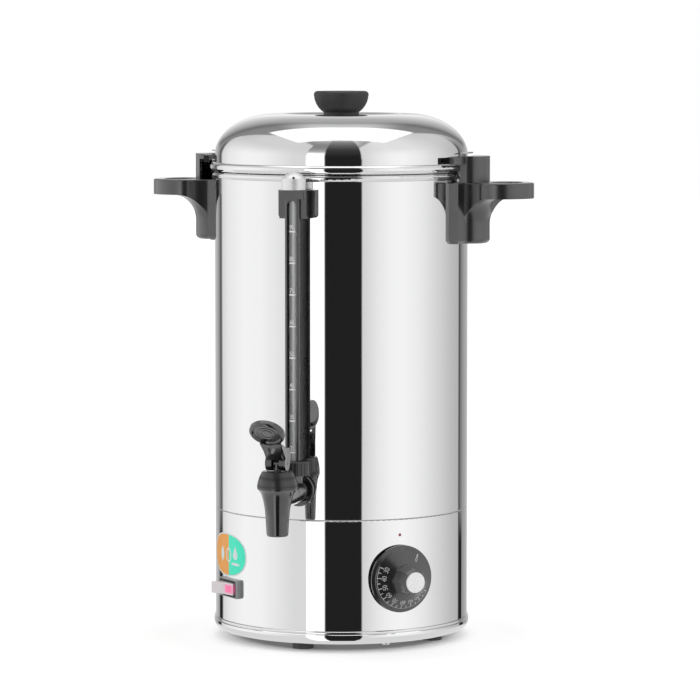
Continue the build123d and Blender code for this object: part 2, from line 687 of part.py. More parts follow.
BACKING_OUT = 108.85
BACKING_IN = BACKING_OUT - 1.2


def handle_backing_plates():
    """Steel strips inside the wall that spread the screws' load."""
    strip = block((BACKING_IN, BACKING_OUT), (-8, 8), (HANDLE_SCREW_Z[0] - 9, HANDLE_SCREW_Z[1] + 9))
    strip = fillet(strip.edges().filter_by(Axis.X), 3.0)
    for height in HANDLE_SCREW_Z:
        strip = strip - handle_screw_line(HANDLE_SCREW_R, 100, 120, height, 1)
    return group([strip, Rot(0, 0, 180) * strip])


# ----------------------------------------------------------------------- gauge
GLASS_R = 4.5
GLASS_BORE = 3.1
GUARD_HALF = 6.5
GUARD_FRONT = 129.6
GUARD_BACK = 117.6
WEB_HALF = 5.7
WINDOW_HALF = 4.2
WINDOW_HIGH = 385.0
GUARD_ROOM = GLASS_R + 0.3
NUT_LOW = 153.7
NUT_HIGH = 166.0
CAP_LOW = 394.0
BRACKET_LOW = 370.0
BRACKET_HALF = 12.0
BRACKET_FRONT = 130.4
BAND_LOW = 386.5
BRACKET_FOOT_HALF = 16.4
BRACKET_FOOT_D = 116.5
SEAL_R = GLASS_R + 1.2
ELBOW_R = 10.5
RISE_R = 7.4
COLLAR_R = 14.0
COLLAR_END = 114.6
ELBOW_END = 140.5


def gauge_glass():
    return Pos(0, -GAUGE_D, 0) * tube(GLASS_R, GLASS_BORE, 151.0, 400.0)


def gauge_guard():
    """Channel round the glass with a long window in front."""
    rail = block((-GUARD_HALF, GUARD_HALF), (-GUARD_FRONT, -GUARD_BACK),
                 (NUT_HIGH + 0.2, CAP_LOW - 0.2))
    rail = fillet(rail.edges().filter_by(Axis.Z).group_by(Axis.Y)[0], 1.6)
    rail = rail + block((-WEB_HALF, WEB_HALF), (-GUARD_BACK, -TANK_R), (NUT_HIGH + 1, BRACKET_LOW - 0.2))
    rail = rail - disc(TANK_R + 0.1, 100, 500)
    rail = rail - Pos(0, -GAUGE_D, 0) * disc(GUARD_ROOM, 100, 500)
    rail = rail - block((-GUARD_ROOM, GUARD_ROOM), (-GAUGE_D, -100), (100, 500))
    rail = rail - Pos(0, -GAUGE_D, 0) * disc(SEAL_R, CAP_LOW - 3.4, 500)
    arch_z = WINDOW_HIGH - WINDOW_HALF
    window = block((-WINDOW_HALF, WINDOW_HALF), (-GUARD_FRONT - 1, -GAUGE_D), (150, arch_z))
    arch = Pos(0, -(GUARD_FRONT + GAUGE_D) / 2, arch_z) * Rot(90, 0, 0)
    arch = arch * Cylinder(WINDOW_HALF, GUARD_FRONT - GAUGE_D + 2)
    return rail - window - arch


def gauge_top_bracket():
    """Plastic saddle that ties the guard's top to the tank's wall."""
    top = CAP_LOW - 0.4
    saddle = block((-BRACKET_HALF, BRACKET_HALF), (-126.5, -105), (BRACKET_LOW, top))
    band = block((-BRACKET_HALF, BRACKET_HALF), (-BRACKET_FRONT, -105), (BAND_LOW, top))
    saddle = fillet((saddle + band).edges().filter_by(Axis.Z).group_by(Axis.Y)[0], 1.5)
    room = block((-GUARD_HALF, GUARD_HALF), (-GUARD_FRONT, -GUARD_BACK), (300, 500))
    foot = block((-BRACKET_FOOT_HALF, BRACKET_FOOT_HALF), (-BRACKET_FOOT_D, -105), (BRACKET_LOW, top))
    foot = fillet(foot.edges().filter_by(Axis.Y).group_by(Axis.Z)[0], 3.0)
    saddle = saddle + foot - room - disc(TANK_R + 0.05, 300, 500)
    saddle = saddle - Pos(0, -GAUGE_D, 0) * disc(SEAL_R, CAP_LOW - 3.4, 500)
    return saddle - outward(BRACKET_SCREW_Z) * disc(2.0, 90, 117)


def gauge_bracket_screw():
    screw = Pos(0, 0, 108.0) * pan_screw(2.0, 3.6, 2.2, 9.0)
    washer = disc(3.6, 108.0, 109.1) - disc(2.0, 100, 120)
    return outward(BRACKET_SCREW_Z) * (screw + washer)


def gauge_cap():
    """Bright domed cap on the glass, with a breather hole."""
    cap = turned(
        Line((0, CAP_LOW), (10.25, CAP_LOW)),
        Line((10.25, CAP_LOW), (10.25, 403.4)),
        ThreePointArc((10.25, 403.4), (8.6, 405.3), (2.2, 408.6)),
        Line((2.2, 408.6), (0, 408.8)),
        Line((0, 408.8), (0, CAP_LOW)),
    )
    cap = cap - disc(GLASS_R + 0.02, 390, 400.2) - disc(1.2, 399, 406)
    breather = Rot(0, 0, 18) * Pos(0, -6, 404.2) * Rot(90, 0, 0) * Cylinder(1.1, 12)
    rim_room = Pos(0, GAUGE_D, 0) * disc(TANK_R + RIM_BEAD_R + 0.1, 390, 406.05)
    lid_room = Pos(0, GAUGE_D, 0) * disc(LID_BEAD_R + GAP + 0.2, 406, 420)
    return Pos(0, -GAUGE_D, 0) * (cap - breather - rim_room - lid_room)


def gauge_top_seal():
    return Pos(0, -GAUGE_D, 0) * tube(SEAL_R, GLASS_R, CAP_LOW - 3.4, CAP_LOW)


def gauge_nut():
    """Knurled nut that squeezes the lower seal."""
    nut = disc(13.4, NUT_LOW, NUT_HIGH)
    nut = fillet(nut.edges().sort_by(Axis.Z)[-1], 2.0)
    nut = nut - disc(9.0, NUT_LOW - 1, NUT_HIGH - 3.5) - disc(GLASS_R + 0.4, 100, 200)
    for turn in range(0, 360, 15):
        nut = nut - Rot(0, 0, turn) * Pos(13.9, 0, 0) * disc(0.8, NUT_LOW - 1, NUT_HIGH - 1.6)
    return Pos(0, -GAUGE_D, 0) * nut


def gauge_bottom_seal():
    return Pos(0, -GAUGE_D, 0) * tube(8.6, GLASS_R, NUT_HIGH - 6.2, NUT_HIGH - 3.5)


def gauge_elbow():
    """Tee on the tap's shank that feeds the glass."""
    run = outward(TAP_Z) * disc(ELBOW_R, COLLAR_END, ELBOW_END)
    rise = disc(RISE_R, TAP_Z, NUT_HIGH - 6.2) + disc(9.0, NUT_LOW - 1, NUT_HIGH - 6.2)
    rise = Pos(0, -GAUGE_D, 0) * rise
    tee = run + rise
    tee = tee - outward(TAP_Z) * disc(SHANK_R, 100, 150)
    tee = tee - Pos(0, -GAUGE_D, 0) * disc(GLASS_BORE, TAP_Z, 200)
    return tee - Pos(0, -GAUGE_D, 0) * disc(GLASS_R, 151.0, 200)


# ------------------------------------------------------------------------- tap
CHAMBER_R = 9.0
CHAMBER_LOW = 130.0
CHAMBER_HIGH = 152.0
NECK_R = 11.4
OUTLET_R = 6.0
BODY_HIGH = 147.0
SHANK_IN = 94.0
SHANK_BORE = 5.0
STEM_R = 3.0
CUP_R = 7.8
CUP_LOW = CHAMBER_LOW + GAP
CUP_HIGH = CUP_LOW + 7.5
LEVER_PIN_R = 1.5
RIB_R = 0.34


def tap_collar():
    """Round collar with a saddle back, between the tee and the tank."""
    collar = outward(TAP_Z) * disc(COLLAR_R, 100, COLLAR_END)
    collar = fillet(collar.edges().sort_by(Axis.Y)[0], 1.5)
    collar = collar - disc(TANK_R + 0.05, 0, 300)
    return collar - outward(TAP_Z) * disc(SHANK_R, 90, 130)


def tap_seal():
    """Silicone washer inside the tank's wall."""
    ring = outward(TAP_Z) * tube(COLLAR_R, SHANK_R, 105.6, 112)
    return ring & disc(TANK_R - SHEET, 100, 200)


def tap_locknut():
    return outward(TAP_Z) * Pos(0, 0, 99.1) * hex_nut(26, SHANK_R, 6.5)


def tap_body():
    """Moulded barrel with spout, and the shank through the tank's wall."""
    at = Pos(0, -TAP_D, 0)
    barrel = turned(
        Line((0, SPOUT_LOW), (8.4, SPOUT_LOW)),
        Line((8.4, SPOUT_LOW), (9.1, SPOUT_LOW + 1.0)),
        Line((9.1, SPOUT_LOW + 1.0), (10.2, 125.3)),
        ThreePointArc((10.2, 125.3), (11.1, 132.5), (12.9, 140.0)),
        ThreePointArc((12.9, 140.0), (14.3, 143.4), (16.5, BODY_HIGH - 0.8)),
        Line((16.5, BODY_HIGH - 0.8), (16.5, BODY_HIGH)),
        Line((16.5, BODY_HIGH), (0, BODY_HIGH)),
        Line((0, BODY_HIGH), (0, SPOUT_LOW)),
    )
    neck = tube(NECK_R, CHAMBER_R, BODY_HIGH - 1, CHAMBER_HIGH)
    body = at * (barrel + neck)
    shank = outward(TAP_Z) * disc(SHANK_R, SHANK_IN, TAP_D - CHAMBER_R - 1)
    collar = outward(TAP_Z - 0.4) * disc(10.4, ELBOW_END + 0.1, TAP_D - 8)
    body = body + shank + collar - at * tube(18.0, NECK_R, BODY_HIGH, CHAMBER_HIGH + 5)
    body = body - at * disc(CHAMBER_R, CHAMBER_LOW, CHAMBER_HIGH + 1)
    body = body - at * disc(OUTLET_R, SPOUT_LOW - 1, CHAMBER_LOW + 1)
    return body - outward(TAP_Z) * disc(SHANK_BORE, SHANK_IN - 1, TAP_D - 2)


def tap_bonnet():
    """Ribbed screw cap of the tap, with the stem's guide in its top."""
    cone = turned(
        Line((0, BODY_HIGH + 0.1), (16.9, BODY_HIGH + 0.1)),
        Line((16.9, BODY_HIGH + 0.1), (16.9, 149.6)),
        ThreePointArc((16.9, 149.6), (15.7, 154.8), (12.9, BONNET_TOP - 0.6)),
        Line((12.9, BONNET_TOP - 0.6), (12.0, BONNET_TOP)),
        Line((12.0, BONNET_TOP), (0, BONNET_TOP)),
        Line((0, BONNET_TOP), (0, BODY_HIGH + 0.1)),
    )
    cap = cone - disc(NECK_R + 0.05, BODY_HIGH - 1, CHAMBER_HIGH + 0.3)
    cap = cap - disc(CHAMBER_R - 1, 140, SPRING_HIGH)
    cap = cap - disc(STEM_R + RUN, 140, 170)
    for turn in range(0, 360, 6):
        groove = Pos(16.9, 0, BODY_HIGH + 1.6) * Rot(0, -14, 0) * Pos(0, 0, 4.6) * Cylinder(RIB_R, 9.2)
        cap = cap - Rot(0, 0, turn) * groove
    return Pos(0, -TAP_D, 0) * cap


SPRING_LOW = CUP_HIGH
SPRING_HIGH = 155.5
SPRING_R = 5.6
SPRING_WIRE = 0.55


def tap_spring():
    """Coil spring that presses the seat cup down."""
    low = SPRING_LOW + SPRING_WIRE
    high = SPRING_HIGH - SPRING_WIRE
    coil = Helix(pitch=(high - low) / 5, height=high - low, radius=SPRING_R)
    wire = sweep(Plane(origin=coil @ 0, z_dir=coil % 0) * Circle(SPRING_WIRE), path=coil)
    return Pos(0, -TAP_D, low) * wire


def tap_stem():
    """Rod through the bonnet; its flat head takes the lever's pin."""
    rod = disc(STEM_R, CUP_LOW + 2.5, PIN_Z)
    head = Pos(0, 0, PIN_Z) * Rot(0, 90, 0) * Cylinder(STEM_R + 0.2, 5.6)
    collar = disc(4.6, CUP_HIGH - 2.2, CUP_HIGH - 1.0)
    stem = rod + (head & block((-2.8, 2.8), (-5, 5), (PIN_Z - 1, PIN_Z + 5)))
    stem = stem + collar
    stem = stem - Pos(0, 0, PIN_Z) * Rot(0, 90, 0) * Cylinder(LEVER_PIN_R + RUN, 20)
    return Pos(0, -TAP_D, 0) * stem


def tap_seat_cup():
    """Soft cup that closes the outlet."""
    cup = disc(CUP_R, CUP_LOW, CUP_HIGH)
    cup = chamfer(cup.edges().sort_by(Axis.Z)[-1], 1.2)
    cup = cup - disc(STEM_R, CUP_LOW + 2.5, CUP_HIGH + 1) - disc(4.6, CUP_HIGH - 2.2, CUP_HIGH - 1.0)
    return Pos(0, -TAP_D, 0) * cup


LEVER_THICK = 5.0
LEVER_BOSS_R = 6.3
PAD_R = 15.0
PAD_TILT = 7.0
DISH_R = 12.4
PAD_THICK = 6.2
PAD_U = 37.5
FORK_GAP = 3.3
FORK_OUT = 8.8
WEB_FROM = 3.6
WINDOW_U = 18.2
HEEL = ((20, 0), (20, 3.0), (12, 6.5), (6, 12.5), (-1.5, 10.5), (-5.6, 3.0), (0, 0))


def tap_lever():
    """Forked paddle: two cheeks on the pin, a window, and a ringed thumb pad."""
    half = LEVER_THICK / 2
    arm_plan = make_face(Polyline((-1, FORK_OUT), (12, 6.8), (26, 8.6), (26, -8.6), (12, -6.8),
                                  (-1, -FORK_OUT), close=True))
    arm = extrude(arm_plan, half, both=True)
    boss = Rot(90, 0, 0) * Cylinder(LEVER_BOSS_R, 2 * FORK_OUT)
    tilt = Pos(PAD_U, 0, 0) * Rot(0, PAD_TILT, 0)
    pad = tilt * fillet(Cylinder(PAD_R, PAD_THICK).edges(), 2.2)
    heel = extrude(Plane.XZ * make_face(Polyline(*HEEL, close=True)), FORK_OUT, both=True)
    lever = arm + boss + heel + pad
    fork = block((-20, 9.5), (-FORK_GAP, FORK_GAP), (-20, 20))
    fork = fork - block((WEB_FROM, 9.5), (-FORK_GAP, FORK_GAP), (-half, -half + 1.6))
    window = Pos(WINDOW_U, 0, 0) * extrude(SlotOverall(8.0, 6.4), 6, both=True)
    lever = lever - fork - window
    face = -PAD_THICK / 2
    dish = chamfer(disc(DISH_R, face - 2, face + 1.8).edges().sort_by(Axis.Z)[-1], 1.2)
    lever = lever - tilt * dish
    for ring_r in (5.0, 8.0):
        lever = lever - tilt * tube(ring_r + 0.5, ring_r - 0.5, face + 1, face + 2.2)
    lever = lever - Rot(90, 0, 0) * Cylinder(LEVER_PIN_R, 30)
    # local X runs out along the paddle, local Z is its upper face
    place = Plane(origin=(0, -TAP_D, PIN_Z), x_dir=(0, -math.cos(math.radians(LEVER_RISE)),
                                                    math.sin(math.radians(LEVER_RISE))),
                  z_dir=(0, math.sin(math.radians(LEVER_RISE)), math.cos(math.radians(LEVER_RISE))))
    return place * lever


def lever_pin():
    pin = Pos(0, -TAP_D, PIN_Z) * Rot(0, 90, 0) * Cylinder(LEVER_PIN_R, 2 * FORK_OUT - 0.4)
    return pin


# ------------------------------------------------------------------------ dial
KNOB_BACK = 111.8
KNOB_FACE = 115.6
KNOB_R = 28.7
FACE_R = 25.6
CONE_R = 13.4
CONE_END = 122.4
GRIP_END = 138.0


def thermostat_knob():
    """Skirted dial with an eight-sided grip."""
    skirt = turned(
        Line((0, KNOB_BACK), (KNOB_R, KNOB_BACK)),
        Line((KNOB_R, KNOB_BACK), (KNOB_R, KNOB_BACK + 1.4)),
        Line((KNOB_R, KNOB_BACK + 1.4), (FACE_R + 0.4, KNOB_FACE - 1.2)),
        Line((FACE_R + 0.4, KNOB_FACE - 1.2), (FACE_R, KNOB_FACE)),
        Line((FACE_R, KNOB_FACE), (CONE_R, CONE_END)),
        Line((CONE_R, CONE_END), (0, CONE_END)),
        Line((0, CONE_END), (0, KNOB_BACK)),
    )
    skirt = skirt - tube(26.4, 8.0, KNOB_BACK - 1, KNOB_FACE - 2.0)
    low = Pos(0, 0, CONE_END - 1.5) * RegularPolygon(14.0, 8)
    high = Pos(0, 0, GRIP_END - 1.6) * RegularPolygon(11.6, 8)
    grip = loft([low, high])
    crown = loft([high, Pos(0, 0, GRIP_END) * RegularPolygon(10.2, 8)])
    knob = skirt + grip + crown
    knob = knob - disc(8.8, GRIP_END - 0.8, GRIP_END + 1)
    knob = knob - flatted_shaft(SHAFT_R, KNOB_BACK - 5, 128)
    return around(DIAL_ANGLE, outward(DIAL_Z) * knob)


def flatted_shaft(radius, low, high):
    flat = block((-radius - 1, radius + 1), (radius - 1.0, radius + 1), (TANK_R + 1.9, high + 1))
    return disc(radius, low, high) - flat


def thermostat_shaft():
    return around(DIAL_ANGLE, outward(DIAL_Z) * flatted_shaft(SHAFT_R, 98, 128))


def knob_cap():
    cap = disc(8.8, GRIP_END - 0.8, GRIP_END + 0.9)
    cap = fillet(cap.edges().sort_by(Axis.Z)[-1], 0.6)
    return around(DIAL_ANGLE, outward(DIAL_Z) * cap)


# ----------------------------------------------------------------------- write
save("tank_shell", tank_shell())
save("tank_floor", tank_floor())
save("heater_plate", heater_plate())
save("heating_element", heating_element())
save("element_clamps", element_clamps())
save("thermal_cutout", thermal_cutout())
save("base_shell", base_shell())
save("base_ring", base_ring())
save("base_plate", base_plate())
save("base_plate_screws", base_plate_screws())
save("feet", feet())
save("reset_housing", reset_housing())
save("reset_button", reset_button())
save("thermostat_body", thermostat_body())
save("thermostat_screws", thermostat_screws())
save("thermostat_bulb", thermostat_bulb())
save("bulb_clips", bulb_clips())
save("capillary_tube", capillary_tube())
save("thermostat_shaft", thermostat_shaft())
save("thermostat_knob", thermostat_knob())
save("knob_cap", knob_cap())
save("switch_frame", switch_frame())
save("switch_housing", switch_housing())
save("switch_terminals", switch_terminals())
save("switch_rocker", switch_rocker())
save("terminal_block", terminal_block())
save("earth_stud", earth_stud())
save("wiring", wiring())
save("cable_gland", cable_gland())
save("gland_cap", gland_cap())
save("gland_nut", gland_nut())
save("lid_shell", lid_shell())
save("lid_lugs", lid_lugs())
save("lid_knob", lid_knob())
save("lid_knob_screw", lid_knob_screw())
save("handle_right", handle())
save("handle_left", Rot(0, 0, 180) * handle())
save("handle_backing_plates", handle_backing_plates())
save("handle_screws", handle_screws())
save("gauge_glass", gauge_glass())
save("gauge_guard", gauge_guard())
save("gauge_top_bracket", gauge_top_bracket())
save("gauge_bracket_screw", gauge_bracket_screw())
save("gauge_cap", gauge_cap())
save("gauge_top_seal", gauge_top_seal())
save("gauge_nut", gauge_nut())
save("gauge_bottom_seal", gauge_bottom_seal())
save("gauge_elbow", gauge_elbow())
save("tap_collar", tap_collar())
save("tap_seal", tap_seal())
save("tap_locknut", tap_locknut())
save("tap_body", tap_body())
save("tap_bonnet", tap_bonnet())
save("tap_spring", tap_spring())
save("tap_stem", tap_stem())
save("tap_seat_cup", tap_seat_cup())
save("tap_lever", tap_lever())
save("lever_pin", lever_pin())
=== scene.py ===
# %% [markdown]
# # A hot water urn, piece by piece
#
# The real object is a tank of mirror-polished sheet steel on a heater base, with moulded black
# fittings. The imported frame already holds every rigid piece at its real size, so this lesson gives
# them their finishes, adds what is printed on them, and lights them. Everything is in metres.

# %% Load the frame
import math

import bpy
import bmesh
from mathutils import Matrix, Vector


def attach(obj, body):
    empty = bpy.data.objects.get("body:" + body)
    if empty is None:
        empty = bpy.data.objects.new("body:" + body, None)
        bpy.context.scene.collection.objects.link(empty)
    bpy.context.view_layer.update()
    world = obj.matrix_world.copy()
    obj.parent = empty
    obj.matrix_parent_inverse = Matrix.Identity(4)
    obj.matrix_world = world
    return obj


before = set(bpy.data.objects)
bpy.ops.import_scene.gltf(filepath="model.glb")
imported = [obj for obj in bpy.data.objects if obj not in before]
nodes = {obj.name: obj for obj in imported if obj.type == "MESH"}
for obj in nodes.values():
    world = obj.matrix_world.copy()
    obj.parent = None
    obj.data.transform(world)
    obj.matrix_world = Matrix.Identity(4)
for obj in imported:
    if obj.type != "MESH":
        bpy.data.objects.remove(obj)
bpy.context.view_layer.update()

# %% [markdown]
# ## Shader maths as plain expressions
#
# A node tree is easier to read when it looks like arithmetic. The class below wraps a node's
# output, and its operators add Math nodes, so `1 - mask * 0.5` builds two nodes and joins them.

# %% A link that can be added, multiplied and compared
class Link:
    """The output of a node; arithmetic on it adds Math nodes to the same tree."""

    def __init__(self, tree, socket):
        self.tree = tree
        self.socket = socket

    def also(self, key):
        """Another output of the same node."""
        return Link(self.tree, self.socket.node.outputs[key])

    def math(self, operation, *values):
        return self.tree.node("ShaderNodeMath", {"operation": operation}, *values)

    def root(self):
        return self.math("POWER", self, 0.5)

    def __add__(self, other):
        return self.math("ADD", self, other)

    __radd__ = __add__

    def __sub__(self, other):
        return self.math("SUBTRACT", self, other)

    def __rsub__(self, other):
        return self.math("SUBTRACT", other, self)

    def __mul__(self, other):
        return self.math("MULTIPLY", self, other)

    __rmul__ = __mul__

    def __truediv__(self, other):
        return self.math("DIVIDE", self, other)

    def over(self, limit):
        return self.math("GREATER_THAN", self, limit)

    def under(self, limit):
        return self.math("LESS_THAN", self, limit)

    def rise(self, low, high):
        """0 below low, 1 above high, and a smooth step between them."""
        return self.tree.node("ShaderNodeMapRange", {"interpolation_type": "SMOOTHSTEP"},
                              Value=self, **{"From Min": low, "From Max": high})

    def between(self, low, high, soft):
        """1 from low to high, and 0 outside, with edges that are soft by that much each way."""
        return self.rise(low - soft, low + soft) * (1 - self.rise(high - soft, high + soft))


print("Link is ready")

# %% [markdown]
# ## A tree with one way to add a node
#
# Every node is made by the same method: its type, then its settings, then the values or links of
# its sockets. Colours go through Mix nodes, because a Math node would turn them grey.

# %% A tree that adds any node
MIX_FACTOR, MIX_FIRST, MIX_SECOND, MIX_RESULT = 0, 6, 7, 2


def colour(value):
    """Four numbers from one grey level or from three."""
    return (*value, 1.0) if isinstance(value, (tuple, list)) else (value, value, value, 1.0)


class Tree:
    """The node tree of a material or of the world."""

    def __init__(self, owner):
        owner.use_nodes = True
        self.tree = owner.node_tree
        self.tree.nodes.clear()

    def fill(self, socket, value):
        """Gives a socket a link or a constant."""
        if isinstance(value, Link):
            self.tree.links.new(value.socket, socket)
        else:
            socket.default_value = value

    def node(self, kind, settings=None, *values, out=0, stops=None, **named):
        made = self.tree.nodes.new(kind)
        for name, value in (settings or {}).items():
            setattr(made, name, value)
        if stops:
            ramp = made.color_ramp
            while len(ramp.elements) < len(stops):
                ramp.elements.new(1.0)
            for element, (place, level) in zip(ramp.elements, stops):
                element.position = place
                element.color = colour(level)
        for key, value in list(enumerate(values)) + list(named.items()):
            self.fill(made.inputs[key], value)
        return Link(self, made.outputs[out])

    def axes(self, vector):
        """The X, Y and Z parts of a vector."""
        x = self.node("ShaderNodeSeparateXYZ", {}, vector)
        return x, x.also("Y"), x.also("Z")

    def mix(self, factor, first, second):
        """Mixes two colours, each a link, a grey level or three numbers."""
        made = self.tree.nodes.new("ShaderNodeMix")
        made.data_type = "RGBA"
        self.fill(made.inputs[MIX_FACTOR], factor)
        for key, value in ((MIX_FIRST, first), (MIX_SECOND, second)):
            self.fill(made.inputs[key], value if isinstance(value, Link) else colour(value))
        return Link(self, made.outputs[MIX_RESULT])


print("Tree is ready")

# %% [markdown]
# ## Finishes
#
# Each finish is a Principled shader. What makes it look real is small: polishing marks in steel,
# the orange-peel of a moulding, dust-fine pits in rubber. They come from noise that is read at the
# object's own coordinates, so they stay on a piece when it moves.

# %% A finish and its noise
class Finish(Tree):
    """A material with one Principled shader."""

    def __init__(self, name, **constants):
        self.material = bpy.data.materials.new(name)
        super().__init__(self.material)
        self.shader = self.tree.nodes.new("ShaderNodeBsdfPrincipled")
        self.output = self.tree.nodes.new("ShaderNodeOutputMaterial")
        self.tree.links.new(self.shader.outputs["BSDF"], self.output.inputs["Surface"])
        for key, value in constants.items():
            self.shader.inputs[key.replace("_", " ")].default_value = value

    def place(self):
        """The point on the object, in metres."""
        return self.node("ShaderNodeTexCoord", out="Object")

    def noise(self, size, detail=3.0, stretch=(1, 1, 1)):
        """Noise with lumps about size metres wide, squeezed or stretched along each axis."""
        spread = self.node("ShaderNodeMapping", {}, Vector=self.place(), Scale=stretch)
        return self.node("ShaderNodeTexNoise", {}, Vector=spread, Scale=1 / size, Detail=detail)

    def feed(self, name, link):
        self.tree.links.new(link.socket, self.shader.inputs[name])

    def bump(self, height, depth):
        bent = self.node("ShaderNodeBump", {}, Strength=1.0, Distance=depth, Height=height)
        self.feed("Normal", bent)

    def tint(self, mask, first, second):
        self.feed("Base Color", self.mix(mask, first, second))


print("Finish is ready")

# %% Coating the frame's pieces
finished = set()


def coat(finish, names):
    """Gives the CAD nodes in names this finish."""
    for name in names.split():
        slots = nodes[name].data.materials
        slots.clear()
        slots.append(finish.material)
        finished.add(name)
    print(f"{finish.material.name}: {names}")


print("pieces that need a finish:", len(nodes))

# %% [markdown]
# ### Mirror-polished steel
#
# The tank, the base and the lid are sheet that was rolled, then buffed until it mirrors the room.
# Buffing leaves a faint haze in rings round the body and the sheet is never quite flat, so the
# roughness changes a little along the height and a very shallow bump bends the reflections. Inside,
# tank and base are only pickled, so those faces are duller. The distance from the axis tells the
# two faces of the sheet apart.

# %% Mirror steel
MIRROR_GREY = (0.80, 0.80, 0.805)
HAZE_GREY = (0.794, 0.795, 0.799)
MIRROR_ROUGH, HAZE_ROUGH = 0.030, 0.006
BUFF_SIZE, BUFF_DETAIL, BUFF_STRETCH = 0.02, 4.0, (1.0, 1.0, 9.0)
HAZE_TINT, HAZE_SPREAD = (0.35, 0.75), (0.45, 0.85)
WAVE_SIZE, WAVE_DEPTH = 0.09, 0.00012
INNER_WALL, OUTER_WALL = 0.1093, 0.1098
PICKLED_GREY = (0.68, 0.68, 0.67)
PICKLED_ROUGH, PICKLED_DULL = 0.35, 0.75


def mirror_steel(name, pickled_inside=False):
    made = Finish(name, Metallic=1.0)
    buffing = made.noise(BUFF_SIZE, BUFF_DETAIL, BUFF_STRETCH)
    grey = made.mix(buffing.rise(*HAZE_TINT), MIRROR_GREY, HAZE_GREY)
    rough = MIRROR_ROUGH + HAZE_ROUGH * buffing.rise(*HAZE_SPREAD)
    if pickled_inside:
        x, y, _ = made.axes(made.place())
        from_axis = (x * x + y * y).root()
        inside = 1 - from_axis.rise(INNER_WALL, OUTER_WALL)
        grey = made.mix(inside, grey, PICKLED_GREY)
        rough = rough + PICKLED_ROUGH * inside
        made.feed("Metallic", 1 - PICKLED_DULL * inside)
    made.feed("Base Color", grey)
    made.feed("Roughness", rough)
    made.bump(made.noise(WAVE_SIZE, 0.0), WAVE_DEPTH)
    return made


coat(mirror_steel("mirror_steel"), "base_ring lid_shell")
coat(mirror_steel("mirror_outside", pickled_inside=True), "tank_shell base_shell")

# %% [markdown]
# ### Plain metal
#
# Inside and underneath, nothing is buffed. Sheet keeps its rolling grain, screws are bright but
# marked by the tool that made them, the heater plate is cast, and the element's sheath is dull from
# heat. One recipe with other numbers covers them.

# %% A recipe for plain metal
GRAIN_DETAIL = 5.0
GRAIN_TINT = (0.3, 0.7)


def metal(name, light, dark, size, smooth, rough, depth, stretch=(1, 1, 1)):
    made = Finish(name, Metallic=1.0)
    grain = made.noise(size, GRAIN_DETAIL, stretch)
    made.tint(grain.rise(*GRAIN_TINT), light, dark)
    made.feed("Roughness", smooth + (rough - smooth) * grain)
    made.bump(grain, depth)
    return made


print("the recipe for plain metal is ready")

# %% Sheet, screws and castings
coat(metal("rolled_sheet", light=0.60, dark=0.50, size=0.004, smooth=0.22, rough=0.42,
           depth=0.00001, stretch=(1, 14, 14)),
     "tank_floor element_clamps base_plate thermostat_shaft handle_backing_plates bulb_clips"
     " lid_lugs")
coat(metal("bright_screw", light=0.70, dark=0.56, size=0.0012, smooth=0.16, rough=0.38,
           depth=0.00001),
     "base_plate_screws thermostat_screws earth_stud handle_screws gauge_bracket_screw"
     " lid_knob_screw tap_spring")
coat(metal("cast_aluminium", light=0.68, dark=0.55, size=0.0016, smooth=0.45, rough=0.65,
           depth=0.00006),
     "heater_plate")
coat(metal("satin_cap", light=0.88, dark=0.82, size=0.0012, smooth=0.46, rough=0.58,
           depth=0.000006),
     "gauge_cap")

# %% Heated sheath and copper
coat(metal("heated_sheath", light=(0.40, 0.37, 0.33), dark=(0.24, 0.21, 0.19), size=0.006,
           smooth=0.3, rough=0.5, depth=0.00002),
     "heating_element thermostat_bulb")
coat(metal("copper", light=(0.80, 0.46, 0.30), dark=(0.62, 0.32, 0.20), size=0.003,
           smooth=0.2, rough=0.4, depth=0.00001),
     "capillary_tube switch_terminals")

# %% [markdown]
# ### The dial's silver cap
#
# The dial ends in a pressed foil disc. It is brighter and less shiny than steel, with a fine
# sparkle.

# %% Silver foil
SPARKLE_SIZE, SPARKLE_DEPTH = 0.0007, 0.00004
SPARKLE_TINT = (0.35, 0.65)
FOIL_LIGHT, FOIL_DARK = (0.98, 0.98, 0.98), (0.86, 0.86, 0.87)
FOIL_ROUGH, SPARKLE_ROUGH = 0.32, 0.2

foil = Finish("silver_foil", Metallic=0.55)
sparkle = foil.noise(SPARKLE_SIZE, 2.0)
foil.tint(sparkle.rise(*SPARKLE_TINT), FOIL_LIGHT, FOIL_DARK)
foil.feed("Roughness", FOIL_ROUGH + SPARKLE_ROUGH * sparkle)
foil.bump(sparkle, SPARKLE_DEPTH)
coat(foil, "knob_cap")

# %% [markdown]
# ### Mouldings
#
# Handles, gauge guard and tap are black thermoset. The mould gives them a satin skin with a soft
# orange-peel, and hands polish it here and there. The skin is fine noise in the bump, and the
# polished places are noise with much larger lumps, in colour and roughness.

# %% A recipe for mouldings
WEAR_TIMES = 22
WEAR_TINT, WEAR_SPREAD = (0.35, 0.7), (0.3, 0.7)


def moulding(name, light, dark, size, smooth, rough, depth, **constants):
    made = Finish(name, **constants)
    skin = made.noise(size, 4.0)
    wear = made.noise(size * WEAR_TIMES, 2.0)
    made.tint(wear.rise(*WEAR_TINT), light, dark)
    made.feed("Roughness", smooth + (rough - smooth) * wear.rise(*WEAR_SPREAD))
    made.bump(skin, depth)
    return made


print("the recipe for mouldings is ready")

